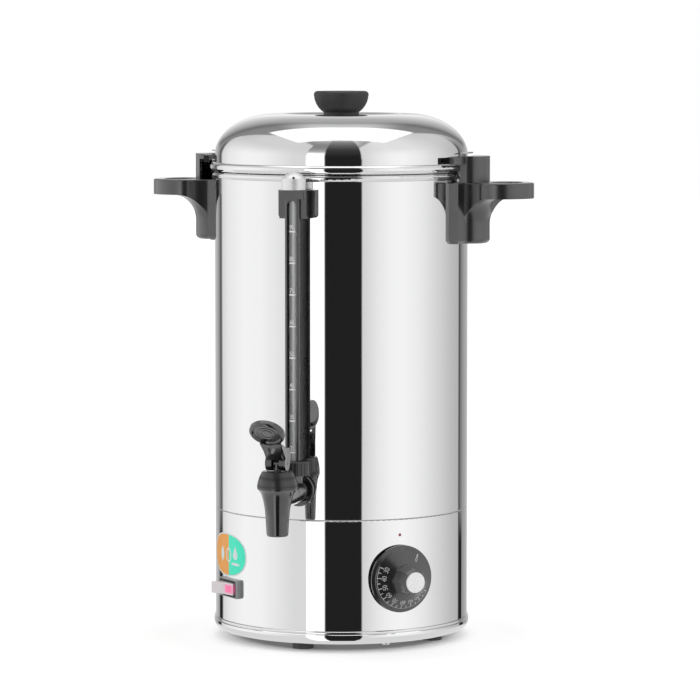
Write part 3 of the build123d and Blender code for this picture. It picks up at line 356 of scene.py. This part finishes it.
# %% Glossy and satin blacks
coat(moulding("handle_black", light=0.014, dark=0.009, size=0.0011, smooth=0.26, rough=0.36,
              depth=0.000030, IOR=1.62, Coat_Weight=1.0, Coat_IOR=1.62, Coat_Roughness=0.20),
     "handle_left handle_right gauge_top_bracket gauge_guard")
coat(moulding("tap_black", light=0.008, dark=0.005, size=0.0014, smooth=0.16, rough=0.26,
              depth=0.000018, IOR=1.65, Coat_Weight=1.0, Coat_IOR=1.60, Coat_Roughness=0.06),
     "tap_body tap_lever tap_collar tap_stem lever_pin gauge_elbow")
coat(moulding("ribbed_black", light=0.014, dark=0.009, size=0.0014, smooth=0.30, rough=0.40,
              depth=0.000018, IOR=1.6, Coat_Weight=0.4, Coat_IOR=1.5, Coat_Roughness=0.2),
     "tap_bonnet gauge_nut")
coat(moulding("dial_black", light=0.014, dark=0.008, size=0.0009, smooth=0.24, rough=0.34,
              depth=0.000018, IOR=1.62, Coat_Weight=1.0, Coat_IOR=1.6, Coat_Roughness=0.18),
     "thermostat_knob")

# %% Matt blacks and rubber
coat(moulding("knob_black", light=0.034, dark=0.026, size=0.0011, smooth=0.46, rough=0.54,
              depth=0.000030),
     "lid_knob")
coat(moulding("matt_black", light=0.036, dark=0.026, size=0.0010, smooth=0.45, rough=0.60,
              depth=0.00004),
     "reset_housing thermostat_body switch_housing cable_gland gland_cap gland_nut")
coat(moulding("foot_rubber", light=0.11, dark=0.08, size=0.0012, smooth=0.70, rough=0.85,
              depth=0.00008),
     "feet")

# %% [markdown]
# ### Pale and coloured mouldings
#
# Nylon, ceramic and silicone follow the same recipe with other colours and grain. Silicone also
# lets light a little way in, which takes the hardness out of its edges.

# %% Nylon, ceramic, silicone and the rest
coat(moulding("reset_red", light=(0.55, 0.03, 0.03), dark=(0.42, 0.02, 0.02), size=0.001,
              smooth=0.2, rough=0.3, depth=0.00002),
     "reset_button")
coat(moulding("natural_nylon", light=(0.80, 0.79, 0.75), dark=(0.74, 0.72, 0.67), size=0.001,
              smooth=0.35, rough=0.5, depth=0.00003),
     "tap_locknut")
coat(moulding("white_ceramic", light=(0.83, 0.81, 0.77), dark=(0.74, 0.72, 0.68), size=0.0007,
              smooth=0.4, rough=0.6, depth=0.00003),
     "thermal_cutout terminal_block")
coat(moulding("silicone", light=(0.78, 0.76, 0.72), dark=(0.70, 0.68, 0.64), size=0.001,
              smooth=0.45, rough=0.6, depth=0.00002, Subsurface_Weight=0.15,
              Subsurface_Scale=0.002),
     "gauge_top_seal gauge_bottom_seal tap_seal tap_seat_cup")
coat(moulding("wire_sleeve", light=(0.36, 0.16, 0.10), dark=(0.26, 0.11, 0.07), size=0.0012,
              smooth=0.5, rough=0.65, depth=0.00003),
     "wiring")
coat(moulding("bezel_grey", light=(0.36, 0.38, 0.375), dark=(0.30, 0.32, 0.315), size=0.0008,
              smooth=0.22, rough=0.36, depth=0.00002),
     "switch_frame")

# %% [markdown]
# ### The lit rocker
#
# The rocker is clear plastic over a small neon lamp. Its half over the lamp glows pink and the rest
# stays milky. A mask along the wall's tangent places the glow, and it fades at its edges.

# %% Clear rocker with its lamp
SWITCH_ANGLE = math.radians(-41.5)
SWITCH_Z = 0.0483
LAMP_FROM, LAMP_TO, LAMP_FADE = 0.0010, 0.0120, 0.0026
LAMP_HALF, LAMP_FADE_UP = 0.0036, 0.0014
CLOUD_SIZE, CLOUD_DEPTH = 0.004, 0.00002
MILKY, LAMP_PINK = (0.97, 0.92, 0.95), (0.85, 0.20, 0.38)
LAMP_LIGHT = (0.40, 0.055, 0.16)

rocker = Finish("lit_rocker", Roughness=0.16, Transmission_Weight=0.12, IOR=1.49,
                Emission_Strength=1.0)
x, y, height = rocker.axes(rocker.place())
along = x * math.cos(SWITCH_ANGLE) + y * math.sin(SWITCH_ANGLE)
lamp = along.between(LAMP_FROM, LAMP_TO, LAMP_FADE)
lamp = lamp * height.between(SWITCH_Z - LAMP_HALF, SWITCH_Z + LAMP_HALF, LAMP_FADE_UP)
cloud = rocker.noise(CLOUD_SIZE, 3.0)
rocker.tint(lamp, MILKY, LAMP_PINK)
rocker.feed("Emission Color", rocker.mix(lamp * (0.6 + 0.4 * cloud), 0.0, LAMP_LIGHT))
rocker.bump(cloud, CLOUD_DEPTH)
coat(rocker, "switch_rocker")

# %% [markdown]
# ### The gauge glass
#
# The sight tube is plain borosilicate that hot water has clouded a little. Part of the light passes
# through and part is scattered by the film of scale inside, which is what makes the marks readable.
# The +X half is painted pale as a painted highlight, and the -X half darker as painted shade.

# %% Sight glass
CLEAR_FROM, CLEAR_TO, CLEAR_FADE = -0.0060, 0.0002, 0.0006
SCALE_PALE, CLEAR_DARK = (0.98, 0.98, 0.98), (0.30, 0.31, 0.31)
SCALE_SIZE, SCALE_STRETCH = 0.006, (1, 1, 0.4)
GLASS_ROUGH, SCALE_ROUGH = 0.03, 0.06
DRAW_SIZE, DRAW_DEPTH = 0.03, 0.00003

glass = Finish("sight_glass", IOR=1.47, Transmission_Weight=0.42)
scale = glass.noise(SCALE_SIZE, 4.0, SCALE_STRETCH)
x, _, _ = glass.axes(glass.place())
# painted highlight and painted shade: the -X half of the tube is painted dark, the +X half pale
clear_side = x.between(CLEAR_FROM, CLEAR_TO, CLEAR_FADE)
glass.tint(clear_side * (0.8 + 0.2 * scale.rise(0.4, 0.8)), SCALE_PALE, CLEAR_DARK)
glass.feed("Roughness", GLASS_ROUGH + SCALE_ROUGH * scale.rise(0.5, 0.8))
glass.bump(glass.noise(DRAW_SIZE, 1.0), DRAW_DEPTH)
coat(glass, "gauge_glass")
print("nodes without a finish:", sorted(set(nodes) - finished))

# %% [markdown]
# ## Printed and stuck-on pieces
#
# Numbers, marks and labels are thin films. Each is drawn flat as a filled curve, cut into strips
# and then bent onto the round wall that carries it, so it is real geometry a tenth of a millimetre
# thick and follows the surface from every side.

# %% Inks
SPECK_SIZE = 0.0006
SPECK_TINT = (0.4, 0.75)
INK_ROUGH, SPECK_ROUGH = 0.32, 0.2


def ink(name, light, dark):
    made = Finish(name)
    speck = made.noise(SPECK_SIZE, 3.0)
    made.tint(speck.rise(*SPECK_TINT), light, dark)
    made.feed("Roughness", INK_ROUGH + SPECK_ROUGH * speck)
    return made.material


white_ink = ink("white_ink", light=(0.99, 0.99, 0.99), dark=(0.93, 0.93, 0.93))
dial_ink = ink("dial_ink", light=(0.62, 0.62, 0.62), dark=(0.48, 0.48, 0.48))
red_ink = ink("red_ink", light=(0.38, 0.11, 0.11), dark=(0.30, 0.08, 0.08))
teal_film = ink("teal_film", light=(0.05, 0.98, 0.66), dark=(0.045, 0.93, 0.61))
orange_film = ink("orange_film", light=(0.98, 0.42, 0.07), dark=(0.95, 0.38, 0.06))
pale_film = ink("pale_film", light=(0.80, 0.90, 0.88), dark=(0.72, 0.84, 0.82))
printed = [material.name for material in bpy.data.materials
           if material.name.endswith(("_ink", "_film"))]
print("inks and films:", printed)

# %% Flat curves: outlines and lettering
FILM = 0.0001


def filled(outlines):
    """A flat filled curve from closed outlines of (x, y) points; an inner one cuts a hole."""
    curve = bpy.data.curves.new("flat", "CURVE")
    curve.dimensions = "2D"
    curve.fill_mode = "BOTH"
    curve.extrude = FILM / 2
    for outline in outlines:
        line = curve.splines.new("POLY")
        line.points.add(len(outline) - 1)
        for point, (x, y) in zip(line.points, outline):
            point.co = (x, y, 0, 1)
        line.use_cyclic_u = True
    return curve


def lettered(text, size):
    """Flat lettering, centred on the origin."""
    curve = bpy.data.curves.new("letters", "FONT")
    curve.body = text
    curve.size = size
    curve.align_x = "CENTER"
    curve.align_y = "CENTER"
    curve.extrude = FILM / 2
    return curve


print("a film is", FILM * 1000, "mm thick")

# %% Outlines to fill
FULL_TURN = 360.0


def oval(half_wide, half_high, centre=(0, 0), start=0.0, end=FULL_TURN, steps=64, power=1.0):
    """Points of an ellipse from start to end degrees; a power under 1 squares its shoulders."""
    gaps = steps - 1 if end - start < FULL_TURN else steps
    points = []
    for step in range(steps):
        angle = math.radians(start + (end - start) * step / gaps)
        across, up = math.cos(angle), math.sin(angle)
        points.append((centre[0] + half_wide * math.copysign(abs(across) ** power, across),
                       centre[1] + half_high * math.copysign(abs(up) ** power, up)))
    return points


def bar(half_wide, half_high):
    """A rectangle, centred on the origin."""
    return [(-half_wide, -half_high), (half_wide, -half_high),
            (half_wide, half_high), (-half_wide, half_high)]


print("an oval has", len(oval(1, 1)), "points")

# %% [markdown]
# ### Bending a film
#
# A flat film has few points, and bending would leave it cutting through the wall. So it is first
# cut into upright strips, each narrow enough to lie close, and only then is every point moved.

# %% Bending a film onto its wall
STRIP = 0.0015
SAME_POINT = 1e-7


def flat_mesh(name, curve):
    """The mesh of a flat curve."""
    holder = bpy.data.objects.new(name + "_flat", curve)
    bpy.context.scene.collection.objects.link(holder)
    bpy.context.view_layer.update()
    drawn = holder.evaluated_get(bpy.context.evaluated_depsgraph_get())
    mesh = bpy.data.meshes.new_from_object(drawn)
    bpy.data.objects.remove(holder)
    mesh.name = name
    return mesh


def film(name, curve, material, place, body, shift=(0, 0), turn=0.0):
    """Turns and shifts a flat curve's mesh, cuts it in strips, moves points with place(x, y, z)."""
    mesh = flat_mesh(name, curve)
    work = bmesh.new()
    work.from_mesh(mesh)
    bmesh.ops.remove_doubles(work, verts=work.verts, dist=SAME_POINT)
    turned = Matrix.Rotation(math.radians(turn), 3, "Z")
    bmesh.ops.rotate(work, verts=work.verts, matrix=turned)
    bmesh.ops.translate(work, verts=work.verts, vec=(shift[0], shift[1], 0))
    reach = [vert.co.x for vert in work.verts]
    cut = math.floor(min(reach) / STRIP) * STRIP
    while cut < max(reach):
        shape = work.verts[:] + work.edges[:] + work.faces[:]
        bmesh.ops.bisect_plane(work, geom=shape, plane_co=(cut, 0, 0), plane_no=(1, 0, 0))
        cut += STRIP
    for vert in work.verts:
        vert.co = place(*vert.co)
    bmesh.ops.recalc_face_normals(work, faces=work.faces)
    work.to_mesh(mesh)
    work.free()
    mesh.materials.clear()
    mesh.materials.append(material)
    piece = bpy.data.objects.new(name, mesh)
    bpy.context.scene.collection.objects.link(piece)
    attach(piece, body)
    return piece


print("a strip is", STRIP * 1000, "mm wide")

# %% Round walls and joined films
LIFT = 0.00006


def on_round(radius, angle, height, centre_y=0.0, lift=LIFT):
    """A place function for a film round an upright cylinder; angle 0 faces the tap's side."""
    def place(x, y, z):
        turned = angle + x / radius
        out = radius + lift + FILM / 2 + z
        return (out * math.sin(turned), centre_y - out * math.cos(turned), height + y)
    return place


def joined(name, parts, body):
    """Joins several films of one ink into one piece."""
    keep, *rest = parts
    work = bmesh.new()
    for part in parts:
        work.from_mesh(part.data)
    work.to_mesh(keep.data)
    work.free()
    for part in rest:
        bpy.data.objects.remove(part)
    keep.name = name
    print(f"{name}: {len(keep.data.polygons)} faces on {body}")
    return keep


print("films are lifted", LIFT * 1000, "mm off their wall")

# %% [markdown]
# ### Litre marks
#
# The glass carries a bar for each litre from 2 to 9, with its number above. One litre of a tank
# this wide is 26.6 mm of height.

# %% Litre marks on the glass
GLASS_RADIUS = 0.0045
GLASS_Y = -0.124
FIRST_LITRE, LAST_LITRE = 2, 9
FIRST_LITRE_Z = 0.1730
LITRE_STEP = 0.0266
MARK_HALF, MARK_HIGH = 0.0031, 0.0014
FIGURE_SIZE, FIGURE_UP = 0.0054, 0.0034

parts = []
for litre in range(FIRST_LITRE, LAST_LITRE + 1):
    mark_z = FIRST_LITRE_Z + (litre - FIRST_LITRE) * LITRE_STEP
    wall = on_round(GLASS_RADIUS, 0.0, mark_z, GLASS_Y)
    mark = filled([bar(MARK_HALF, MARK_HIGH / 2)])
    parts.append(film(f"bar{litre}", mark, white_ink, wall, "urn"))
    figure = lettered(f"{litre}L", FIGURE_SIZE)
    parts.append(film(f"figure{litre}", figure, white_ink, wall, "urn", shift=(0, FIGURE_UP)))
joined("litre_marks", parts, "urn")

# %% [markdown]
# ### Dial figures
#
# The dial's face carries its temperatures from 30 to 110, a tick at each and a shorter one between.
# The face is a shallow cone, so each point of a figure is set out along the dial's axis by its
# distance from the middle. "Up" is towards the red dot, and all of it turns with the dial.

# %% The dial's cone
DIAL_ANGLE = math.radians(45.6)
DIAL_Z = 0.0627
CONE_FOOT, CONE_FOOT_RADIUS = 0.1156, 0.0256
CONE_SLOPE = 0.0068 / 0.0122
FIGURE_LIFT = 0.00009


def on_dial(x, y, z):
    """The place function for a film on the dial's face."""
    out = CONE_FOOT + (CONE_FOOT_RADIUS - math.hypot(x, y)) * CONE_SLOPE + FIGURE_LIFT + z
    return (out * math.sin(DIAL_ANGLE) + x * math.cos(DIAL_ANGLE),
            -out * math.cos(DIAL_ANGLE) + x * math.sin(DIAL_ANGLE), DIAL_Z + y)


def dial_mark(name, curve, radius, turn):
    """A film that far from the dial's middle, turned so that its top points outwards."""
    angle = math.radians(turn)
    spot = (-radius * math.sin(angle), radius * math.cos(angle))
    return film(name, curve, dial_ink, on_dial, "dial", shift=spot, turn=turn)


print("the dial's face is centred", DIAL_Z * 1000, "mm up")

# %% Numbers and ticks on the dial
TEMPERATURES = range(30, 120, 10)
FIRST_TURN, TURN_STEP = 62.0, 22.5
FIGURE_RADIUS, DIAL_FIGURE = 0.0194, 0.0050
TICK_IN, HALF_TICK_IN, TICK_OUT, TICK_HALF = 0.0216, 0.0226, 0.0249, 0.00036

parts = []
for step in range(2 * len(TEMPERATURES) - 1):
    inner = TICK_IN if step % 2 == 0 else HALF_TICK_IN
    tick = filled([bar(TICK_HALF, (TICK_OUT - inner) / 2)])
    turn = FIRST_TURN + step * TURN_STEP / 2
    parts.append(dial_mark(f"tick{step}", tick, (TICK_OUT + inner) / 2, turn))
for step, temperature in enumerate(TEMPERATURES):
    figure = lettered(str(temperature), DIAL_FIGURE)
    turn = FIRST_TURN + step * TURN_STEP
    parts.append(dial_mark(f"degrees{temperature}", figure, FIGURE_RADIUS, turn))
print("dial:", len(parts), "ticks and figures")

# %% The line that joins the ticks, and the off mark
TOP = 90
LINE_HALF = 0.00015
OFF_HALF_WIDE, OFF_HALF_LONG = 0.0006, 0.0016
OFF_TURN = -34.0

line_from = TOP + FIRST_TURN
line_to = line_from + (len(TEMPERATURES) - 1) * TURN_STEP
rim = oval(TICK_OUT + LINE_HALF, TICK_OUT + LINE_HALF, start=line_from, end=line_to)
rim += reversed(oval(TICK_OUT - LINE_HALF, TICK_OUT - LINE_HALF, start=line_from, end=line_to))
parts.append(film("scale_line", filled([rim]), dial_ink, on_dial, "dial"))
off_tick = filled([bar(OFF_HALF_WIDE, OFF_HALF_LONG)])
parts.append(dial_mark("off_tick", off_tick, TICK_OUT - OFF_HALF_LONG, OFF_TURN))
parts.append(dial_mark("off_figure", lettered("0", DIAL_FIGURE), FIGURE_RADIUS, OFF_TURN))
joined("dial_figures", parts, "dial")

# %% Red index dot above the dial
BASE_WALL = 0.110
DOT_HALF = 0.0013
DOT_Z = 0.1000

dot = film("index_dot", filled([oval(DOT_HALF, DOT_HALF)]), red_ink,
           on_round(BASE_WALL, DIAL_ANGLE, DOT_Z), "urn")
print("index dot:", len(dot.data.polygons), "faces")

# %% [markdown]
# ### A plain two-colour label
#
# Above the switch sits a stuck-on label, teal on one half and orange on the other. It is kept
# plain: a drop over a dish on one side, a leaf on the other and a ring between them. The colours
# lie on a pale sheet, whose edge shows as a border, and the motifs lie on the colours.

# %% The label's sheet and its two colours
LABEL_ANGLE = math.radians(-45.0)
LABEL_Z = 0.0765
LABEL_WIDE, LABEL_HIGH, LABEL_POWER = 0.0305, 0.0185, 0.86
BORDER = 0.0011
SPLIT_X = 0.0038


def label_part(name, outlines, material, layer):
    wall = on_round(BASE_WALL, LABEL_ANGLE, LABEL_Z, lift=LIFT + layer * FILM)
    return film(name, filled(outlines), material, wall, "urn")


def half_label(side):
    """The label's outline on one side of the split, inside its border."""
    outline = oval(LABEL_WIDE - BORDER, LABEL_HIGH - BORDER, steps=160, power=LABEL_POWER)
    kept = [(x, y) for x, y in outline if (x - SPLIT_X) * side > 0]
    kept.sort(key=lambda point: math.atan2(point[1], (point[0] - SPLIT_X) * side))
    edge = kept[-1][1]
    return [(SPLIT_X, -edge), *kept, (SPLIT_X, edge)]


sheet = oval(LABEL_WIDE, LABEL_HIGH, steps=96, power=LABEL_POWER)
label_part("label_border", [sheet], pale_film, layer=0)
label_part("label_teal", [half_label(1)], teal_film, layer=1)
label_part("label_orange", [half_label(-1)], orange_film, layer=1)
print("label:", LABEL_WIDE * 2000, "by", LABEL_HIGH * 2000, "mm")

# %% The label's motifs
DROP_X, DROP_Y, DROP_HALF, DROP_TIP = 0.0150, 0.0005, 0.0036, 2.3
DISH_WIDE, DISH_HIGH, DISH_Y = 0.0066, 0.0013, -0.0070
LEAF_X, LEAF_HALF, LEAF_BULGE, LEAF_STEPS = -0.0090, 0.0070, 0.0034, 12
RING_WIDE, RING_HIGH = 0.0047, 0.0062
HOLE_WIDE, HOLE_HIGH = 0.0036, 0.0050


def drop(x, y, half):
    """A water drop: a circle drawn up to a point."""
    round_part = oval(half, half, (x, y), start=-220, end=40, steps=30)
    return [*round_part, (x, y + half * DROP_TIP)]


def leaf(x, half, bulge):
    """Two equal curves that meet in points above and below."""
    right = []
    for step in range(LEAF_STEPS + 1):
        share = step / LEAF_STEPS
        right.append((x + bulge * math.sin(math.pi * share), -half + 2 * half * share))
    left = [(2 * x - px, py) for px, py in right[-2:0:-1]]
    return right + left


dish = oval(DISH_WIDE, DISH_HIGH, (DROP_X, DISH_Y), steps=32)
ring = [oval(RING_WIDE, RING_HIGH, (SPLIT_X, 0)), oval(HOLE_WIDE, HOLE_HIGH, (SPLIT_X, 0))]
motifs = [
    label_part("drop", [drop(DROP_X, DROP_Y, DROP_HALF)], pale_film, layer=2),
    label_part("dish", [dish], pale_film, layer=2),
    label_part("leaf", [leaf(LEAF_X, LEAF_HALF, LEAF_BULGE)], pale_film, layer=2),
    label_part("ring", ring, pale_film, layer=2),
]
joined("label_motifs", motifs, "urn")

# %% [markdown]
# ## Studio
#
# Polished steel shows the room more than itself, so the room is drawn with care. A photographer
# sets white panels left and right, hangs a soft box overhead and stands behind a black flag. The
# world's shader draws the same room by direction: how far round from the photographer, and how
# high. Only reflections and light use it, and whoever looks past the object sees plain white.

# %% Directions in the room
FRONT = math.radians(18.7)
TO_DEGREES = 180 / math.pi
LEAST_UP = 0.01

world = bpy.data.worlds.new("studio")
bpy.context.scene.world = world
room = Tree(world)
x, y, up = room.axes(room.node("ShaderNodeTexCoord", out="Generated"))
ahead = x * math.sin(FRONT) - y * math.cos(FRONT)
aside = x * math.cos(FRONT) + y * math.sin(FRONT)
round_by = ahead.math("ARCTAN2", aside, ahead) * TO_DEGREES
high_by = up.math("ARCSINE", up) * TO_DEGREES
above = up.math("MAXIMUM", up, LEAST_UP)
along = ahead / above
across = along.math("ABSOLUTE", aside / above)
print("the photographer stands", round(math.degrees(FRONT), 1), "degrees round from the tap")

# %% Two helpers for levels of light
def level(value, low, high, stops):
    """A ramp over value, from stops of (value, grey level)."""
    share = (value - low) / (high - low)
    return room.node("ShaderNodeValToRGB", None, share,
                     stops=[((place - low) / (high - low), grey) for place, grey in stops])


def faded(factor, first, second):
    """First where factor is 0, second where it is 1."""
    return first + (second - first) * factor


print("level and faded are ready")

# %% [markdown]
# ### Ceiling
#
# The lid's dome mirrors the ceiling. It is dim over the object, darkest along a line a little way
# behind, and brightens from there to white at the back. The line curves back at its sides, and a
# paler patch lies on its middle. Along and across are places on the ceiling, in heights above the
# object.

# %% Ceiling
LINE_BACK, LINE_SLOPE, LINE_CURVE = 0.75, 0.35, 0.65
CEILING_LEVELS = [(0, 0.31), (0.7, 0.29), (0.9, 0.24), (1.0, 0.18), (1.12, 0.26), (1.3, 0.36),
                  (1.5, 0.46), (2.0, 0.58), (2.7, 0.72), (3.5, 0.80), (5.0, 0.95), (6.0, 1.0)]
CEILING_END = 6
HALO_ACROSS, HALO_END, HALO_FALL = (0.12, 0.45), (1.1, 1.6), (0.6, 1.1)
HALO_LEVEL, HALO_LOSS = 0.40, 0.22

behind = along * -1 / (LINE_BACK + LINE_SLOPE * across + LINE_CURVE * across * across)
ceiling = level(behind, 0, CEILING_END, CEILING_LEVELS)
halo = (1 - across.rise(*HALO_ACROSS)) * (1 - behind.rise(*HALO_END))
ceiling = ceiling + halo * (HALO_LEVEL - HALO_LOSS * behind.rise(*HALO_FALL))
print("ceiling:", len(CEILING_LEVELS), "levels")

# %% [markdown]
# ### Panels
#
# The walls mirror the panels at eye height, and the lid's shoulder mirrors their upper parts, which
# are more even. Where the ceiling ends at its sides, the panels begin.

# %% White panels round the object
PANEL_LEVELS = [(-180, 0.85), (-168, 0.62), (-156, 0.50), (-147, 0.28), (-144.5, 0.13),
                (-141, 0.13), (-138, 0.80), (-125, 0.98), (-99, 1.12), (-78, 1.10), (-60, 0.98),
                (-44, 0.86), (-27, 0.84), (20, 0.80), (34, 1.0), (46, 1.10), (58, 1.13),
                (75, 1.03), (95, 0.84), (120, 0.62), (134.5, 0.54), (135.8, 0.05), (137.4, 0.05),
                (139, 0.22), (151, 0.40), (180, 0.65)]
HIGH_PANEL_LEVELS = [(-180, 0.66), (-130, 0.70), (-110, 0.78), (-60, 0.80), (-30, 0.76),
                     (20, 0.80), (45, 0.93), (75, 0.92), (100, 0.80), (115, 0.74), (180, 0.66)]
PANEL_CHANGE = (8, 40)

panels = faded(high_by.rise(*PANEL_CHANGE), level(round_by, -180, 180, PANEL_LEVELS),
               level(round_by, -180, 180, HIGH_PANEL_LEVELS))
print("panels:", len(PANEL_LEVELS), "levels low and", len(HIGH_PANEL_LEVELS), "high")

# %% Where the panels meet the ceiling and the floor
EDGE_LEFT, EDGE_RIGHT, EDGE_SLOPE = 0.48, 0.38, 0.52
EDGE_FADE = (-0.04, 0.06)
CEILING_FROM = (3, 9)
LOW_LEVEL = 0.82
LOW_FADE = (-16, -11)

edge = faded(round_by.under(0), EDGE_RIGHT, EDGE_LEFT)
edge = edge + EDGE_SLOPE * along.math("MAXIMUM", along * -1, 0.0)
over = (1 - (across - edge).rise(*EDGE_FADE)) * high_by.rise(*CEILING_FROM)
light = faded(over, panels, ceiling)
light = faded(high_by.rise(*LOW_FADE), LOW_LEVEL, light)
print("below", LOW_FADE[0], "degrees the room is as bright as", LOW_LEVEL)

# %% [markdown]
# ### Flag and strip
#
# The black stripe down the body is the flag that the photographer stands behind. It pales as it
# rises. The narrow bright stripe beside it is a lit strip. It fades out between 17 and 30 degrees
# up, so that only the walls mirror it.

# %% Black flag and bright strip
FLAG_LEFT, FLAG_RIGHT, FLAG_FADE = -15.0, 18.6, 0.9
FLAG_LEVELS = [(-90, 0.016), (8, 0.018), (17, 0.03), (31, 0.05), (37, 0.07), (44, 0.115),
               (50, 0.155), (57, 0.23), (63, 0.35), (68, 0.60), (90, 0.60)]
STRIP_LEFT, STRIP_FADE = -32.1, 0.5
STRIP_LEVEL = 1.45
STRIP_TOP = (17, 30)
ABOVE_STRIP = [(20, 0.50), (29, 0.44), (34, 0.37), (40, 0.30), (46, 0.28), (52, 0.31),
               (60, 0.43), (66, 0.70), (90, 0.70)]

strip = round_by.between(STRIP_LEFT, FLAG_LEFT, STRIP_FADE) * (1 - high_by.rise(*STRIP_TOP))
light = faded(strip, light, STRIP_LEVEL)
above_strip = round_by.between(STRIP_LEFT, FLAG_LEFT, STRIP_FADE) * high_by.rise(*STRIP_TOP)
light = faded(above_strip, light, level(high_by, 0, 90, ABOVE_STRIP))
flag = round_by.between(FLAG_LEFT, FLAG_RIGHT, FLAG_FADE)
light = faded(flag, light, level(high_by, -90, 90, FLAG_LEVELS))
print("flag:", round(FLAG_RIGHT - FLAG_LEFT, 1), "degrees wide")

# %% [markdown]
# ### Gaps, soft box and floor
#
# Two short dark gaps low in the room draw the dark ends of the beads round the body. The soft box
# overhead makes the broad highlight on the lid, and its back edge bends further back towards its
# two ends. Straight below lies the white sweep.

# %% Gaps under the panels
GAP_RIGHT, GAP_LEFT, GAP_FADE = (136, 146), (-149, -141), 0.8
GAP_HEIGHT, GAP_FADE_UP = (-10.5, -7.5), 0.3
GAP_LEVEL = 0.02

low_gap = round_by.between(*GAP_RIGHT, GAP_FADE) + round_by.between(*GAP_LEFT, GAP_FADE)
low_gap = low_gap * high_by.between(*GAP_HEIGHT, GAP_FADE_UP)
light = faded(low_gap, light, GAP_LEVEL)
print("gaps:", GAP_LEFT, "and", GAP_RIGHT, "degrees round")

# %% Soft box overhead and the floor below
BOX_BACK, BOX_FRONT, BOX_FADE = -0.38, 0.40, 0.06
BOX_HALF, BOX_END_FADE = 0.62, 0.03
BOX_BEND = 0.2
BOX_LEVEL = 1.55
BOX_LEAST_UP = 0.2
FLOOR_EDGE = -62

overhead = along + BOX_BEND * across * along.under(0)
overhead = overhead.between(BOX_BACK, BOX_FRONT, BOX_FADE)
box_end = across.rise(BOX_HALF - BOX_END_FADE, BOX_HALF + BOX_END_FADE)
overhead = up.over(BOX_LEAST_UP) * overhead * (1 - box_end)
light = faded(overhead, light, BOX_LEVEL)
light = faded(high_by.under(FLOOR_EDGE), light, LOW_LEVEL)
print("soft box level", BOX_LEVEL)

# %% Plain white for whoever looks past the object
seen = room.node("ShaderNodeLightPath", out="Is Camera Ray")
light = faded(seen, light, 1.0)
surface = room.node("ShaderNodeBackground", {}, Color=light, Strength=1.0)
world_out = room.tree.nodes.new("ShaderNodeOutputWorld")
room.tree.links.new(surface.socket, world_out.inputs["Surface"])
print("studio:", len(room.tree.nodes), "nodes")

# %% [markdown]
# ## Floor
#
# The urn stands on a white sweep. The floor takes its shadow, glows a little to whoever looks
# straight at it, so that it runs into the white behind, and lets reflections through to the room.
# Under the base the glow fades out, and it rises again over the next few centimetres, which is
# painted shadow. The paper under the base is painted darker, a painted contact shadow. Without
# them the dark line where urn and floor meet would be washed out.

# %% Paper
FLOOR_RADIUS = 9.0
FLOOR_CORNERS = 96
PAPER_SIZE = 0.4
PAPER_LIGHT, PAPER_GREY, PAPER_DARK = 0.93, 0.91, 0.48
DARK_TO, LIGHT_FROM = 0.084, 0.098

bpy.ops.mesh.primitive_circle_add(vertices=FLOOR_CORNERS, radius=FLOOR_RADIUS, fill_type="NGON")
floor = bpy.context.object
floor.name = "floor"
paper = Finish("white_sweep", Roughness=0.9)
from_middle = paper.node("ShaderNodeVectorMath", {"operation": "LENGTH"}, paper.place(),
                         out="Value")
bright = paper.mix(paper.noise(PAPER_SIZE, 2.0), PAPER_LIGHT, PAPER_GREY)
# painted shadow: the paper's colour is painted dark under the base and pale beyond it
paper.tint(from_middle.rise(DARK_TO, LIGHT_FROM), PAPER_DARK, bright)
print("floor radius", FLOOR_RADIUS)

# %% Its glow, and what reflections see
GLOW_REACH = 0.5
# painted shadow: the glow is nil under the base and rises outwards, which shapes the edge of the
# shadow
GLOW = [(0.086, 0.0), (0.092, 0.04), (0.097, 0.10), (0.101, 0.16), (0.106, 0.23), (0.1105, 0.28),
        (0.115, 0.33), (0.12, 0.36), (0.13, 0.36), (0.15, 0.335), (0.18, 0.35), (0.25, 0.35),
        (0.5, 0.34)]

plain = Link(paper, paper.shader.outputs["BSDF"])
glow_level = paper.node("ShaderNodeValToRGB", None, from_middle / GLOW_REACH,
                        stops=[(place / GLOW_REACH, grey) for place, grey in GLOW])
unlit = paper.node("ShaderNodeEmission", {}, Color=colour(1.0), Strength=0.0)
lit = paper.node("ShaderNodeEmission", {}, Color=colour(1.0), Strength=1.0)
glow = paper.node("ShaderNodeMixShader", {}, glow_level, unlit, lit)
glow = paper.node("ShaderNodeAddShader", {}, plain, glow)
camera_ray = paper.node("ShaderNodeLightPath", out="Is Camera Ray")
mirror_ray = camera_ray.also("Is Glossy Ray")
shown = paper.node("ShaderNodeMixShader", {}, camera_ray, plain, glow)
clear = paper.node("ShaderNodeBsdfTransparent")
mixed = paper.node("ShaderNodeMixShader", {}, mirror_ray, shown, clear)
paper.tree.links.new(mixed.socket, paper.output.inputs["Surface"])
floor.data.materials.append(paper.material)
print("floor:", len(paper.tree.nodes), "nodes")

# %% [markdown]
# ## Camera
#
# A long lens from about three metres, a little above the lid, keeps the walls nearly parallel.

# %% Camera
CAMERA_OUT, CAMERA_UP = 3.217, 0.520
AIM_ASIDE, AIM_UP = 0.0076, 0.2494
LENS, SENSOR = 190.2, 36.0

camera_data = bpy.data.cameras.new("camera")
camera_data.lens = LENS
camera_data.sensor_width = SENSOR
camera = bpy.data.objects.new("camera", camera_data)
bpy.context.scene.collection.objects.link(camera)
camera.location = (CAMERA_OUT * math.sin(FRONT), -CAMERA_OUT * math.cos(FRONT), CAMERA_UP)
aim = Vector((AIM_ASIDE * math.cos(FRONT), AIM_ASIDE * math.sin(FRONT), AIM_UP))
camera.rotation_mode = "QUATERNION"
camera.rotation_quaternion = (aim - camera.location).to_track_quat("-Z", "Y")
bpy.context.scene.camera = camera
bpy.context.scene.view_settings.view_transform = "Standard"
print("camera at", [round(value, 3) for value in camera.location])
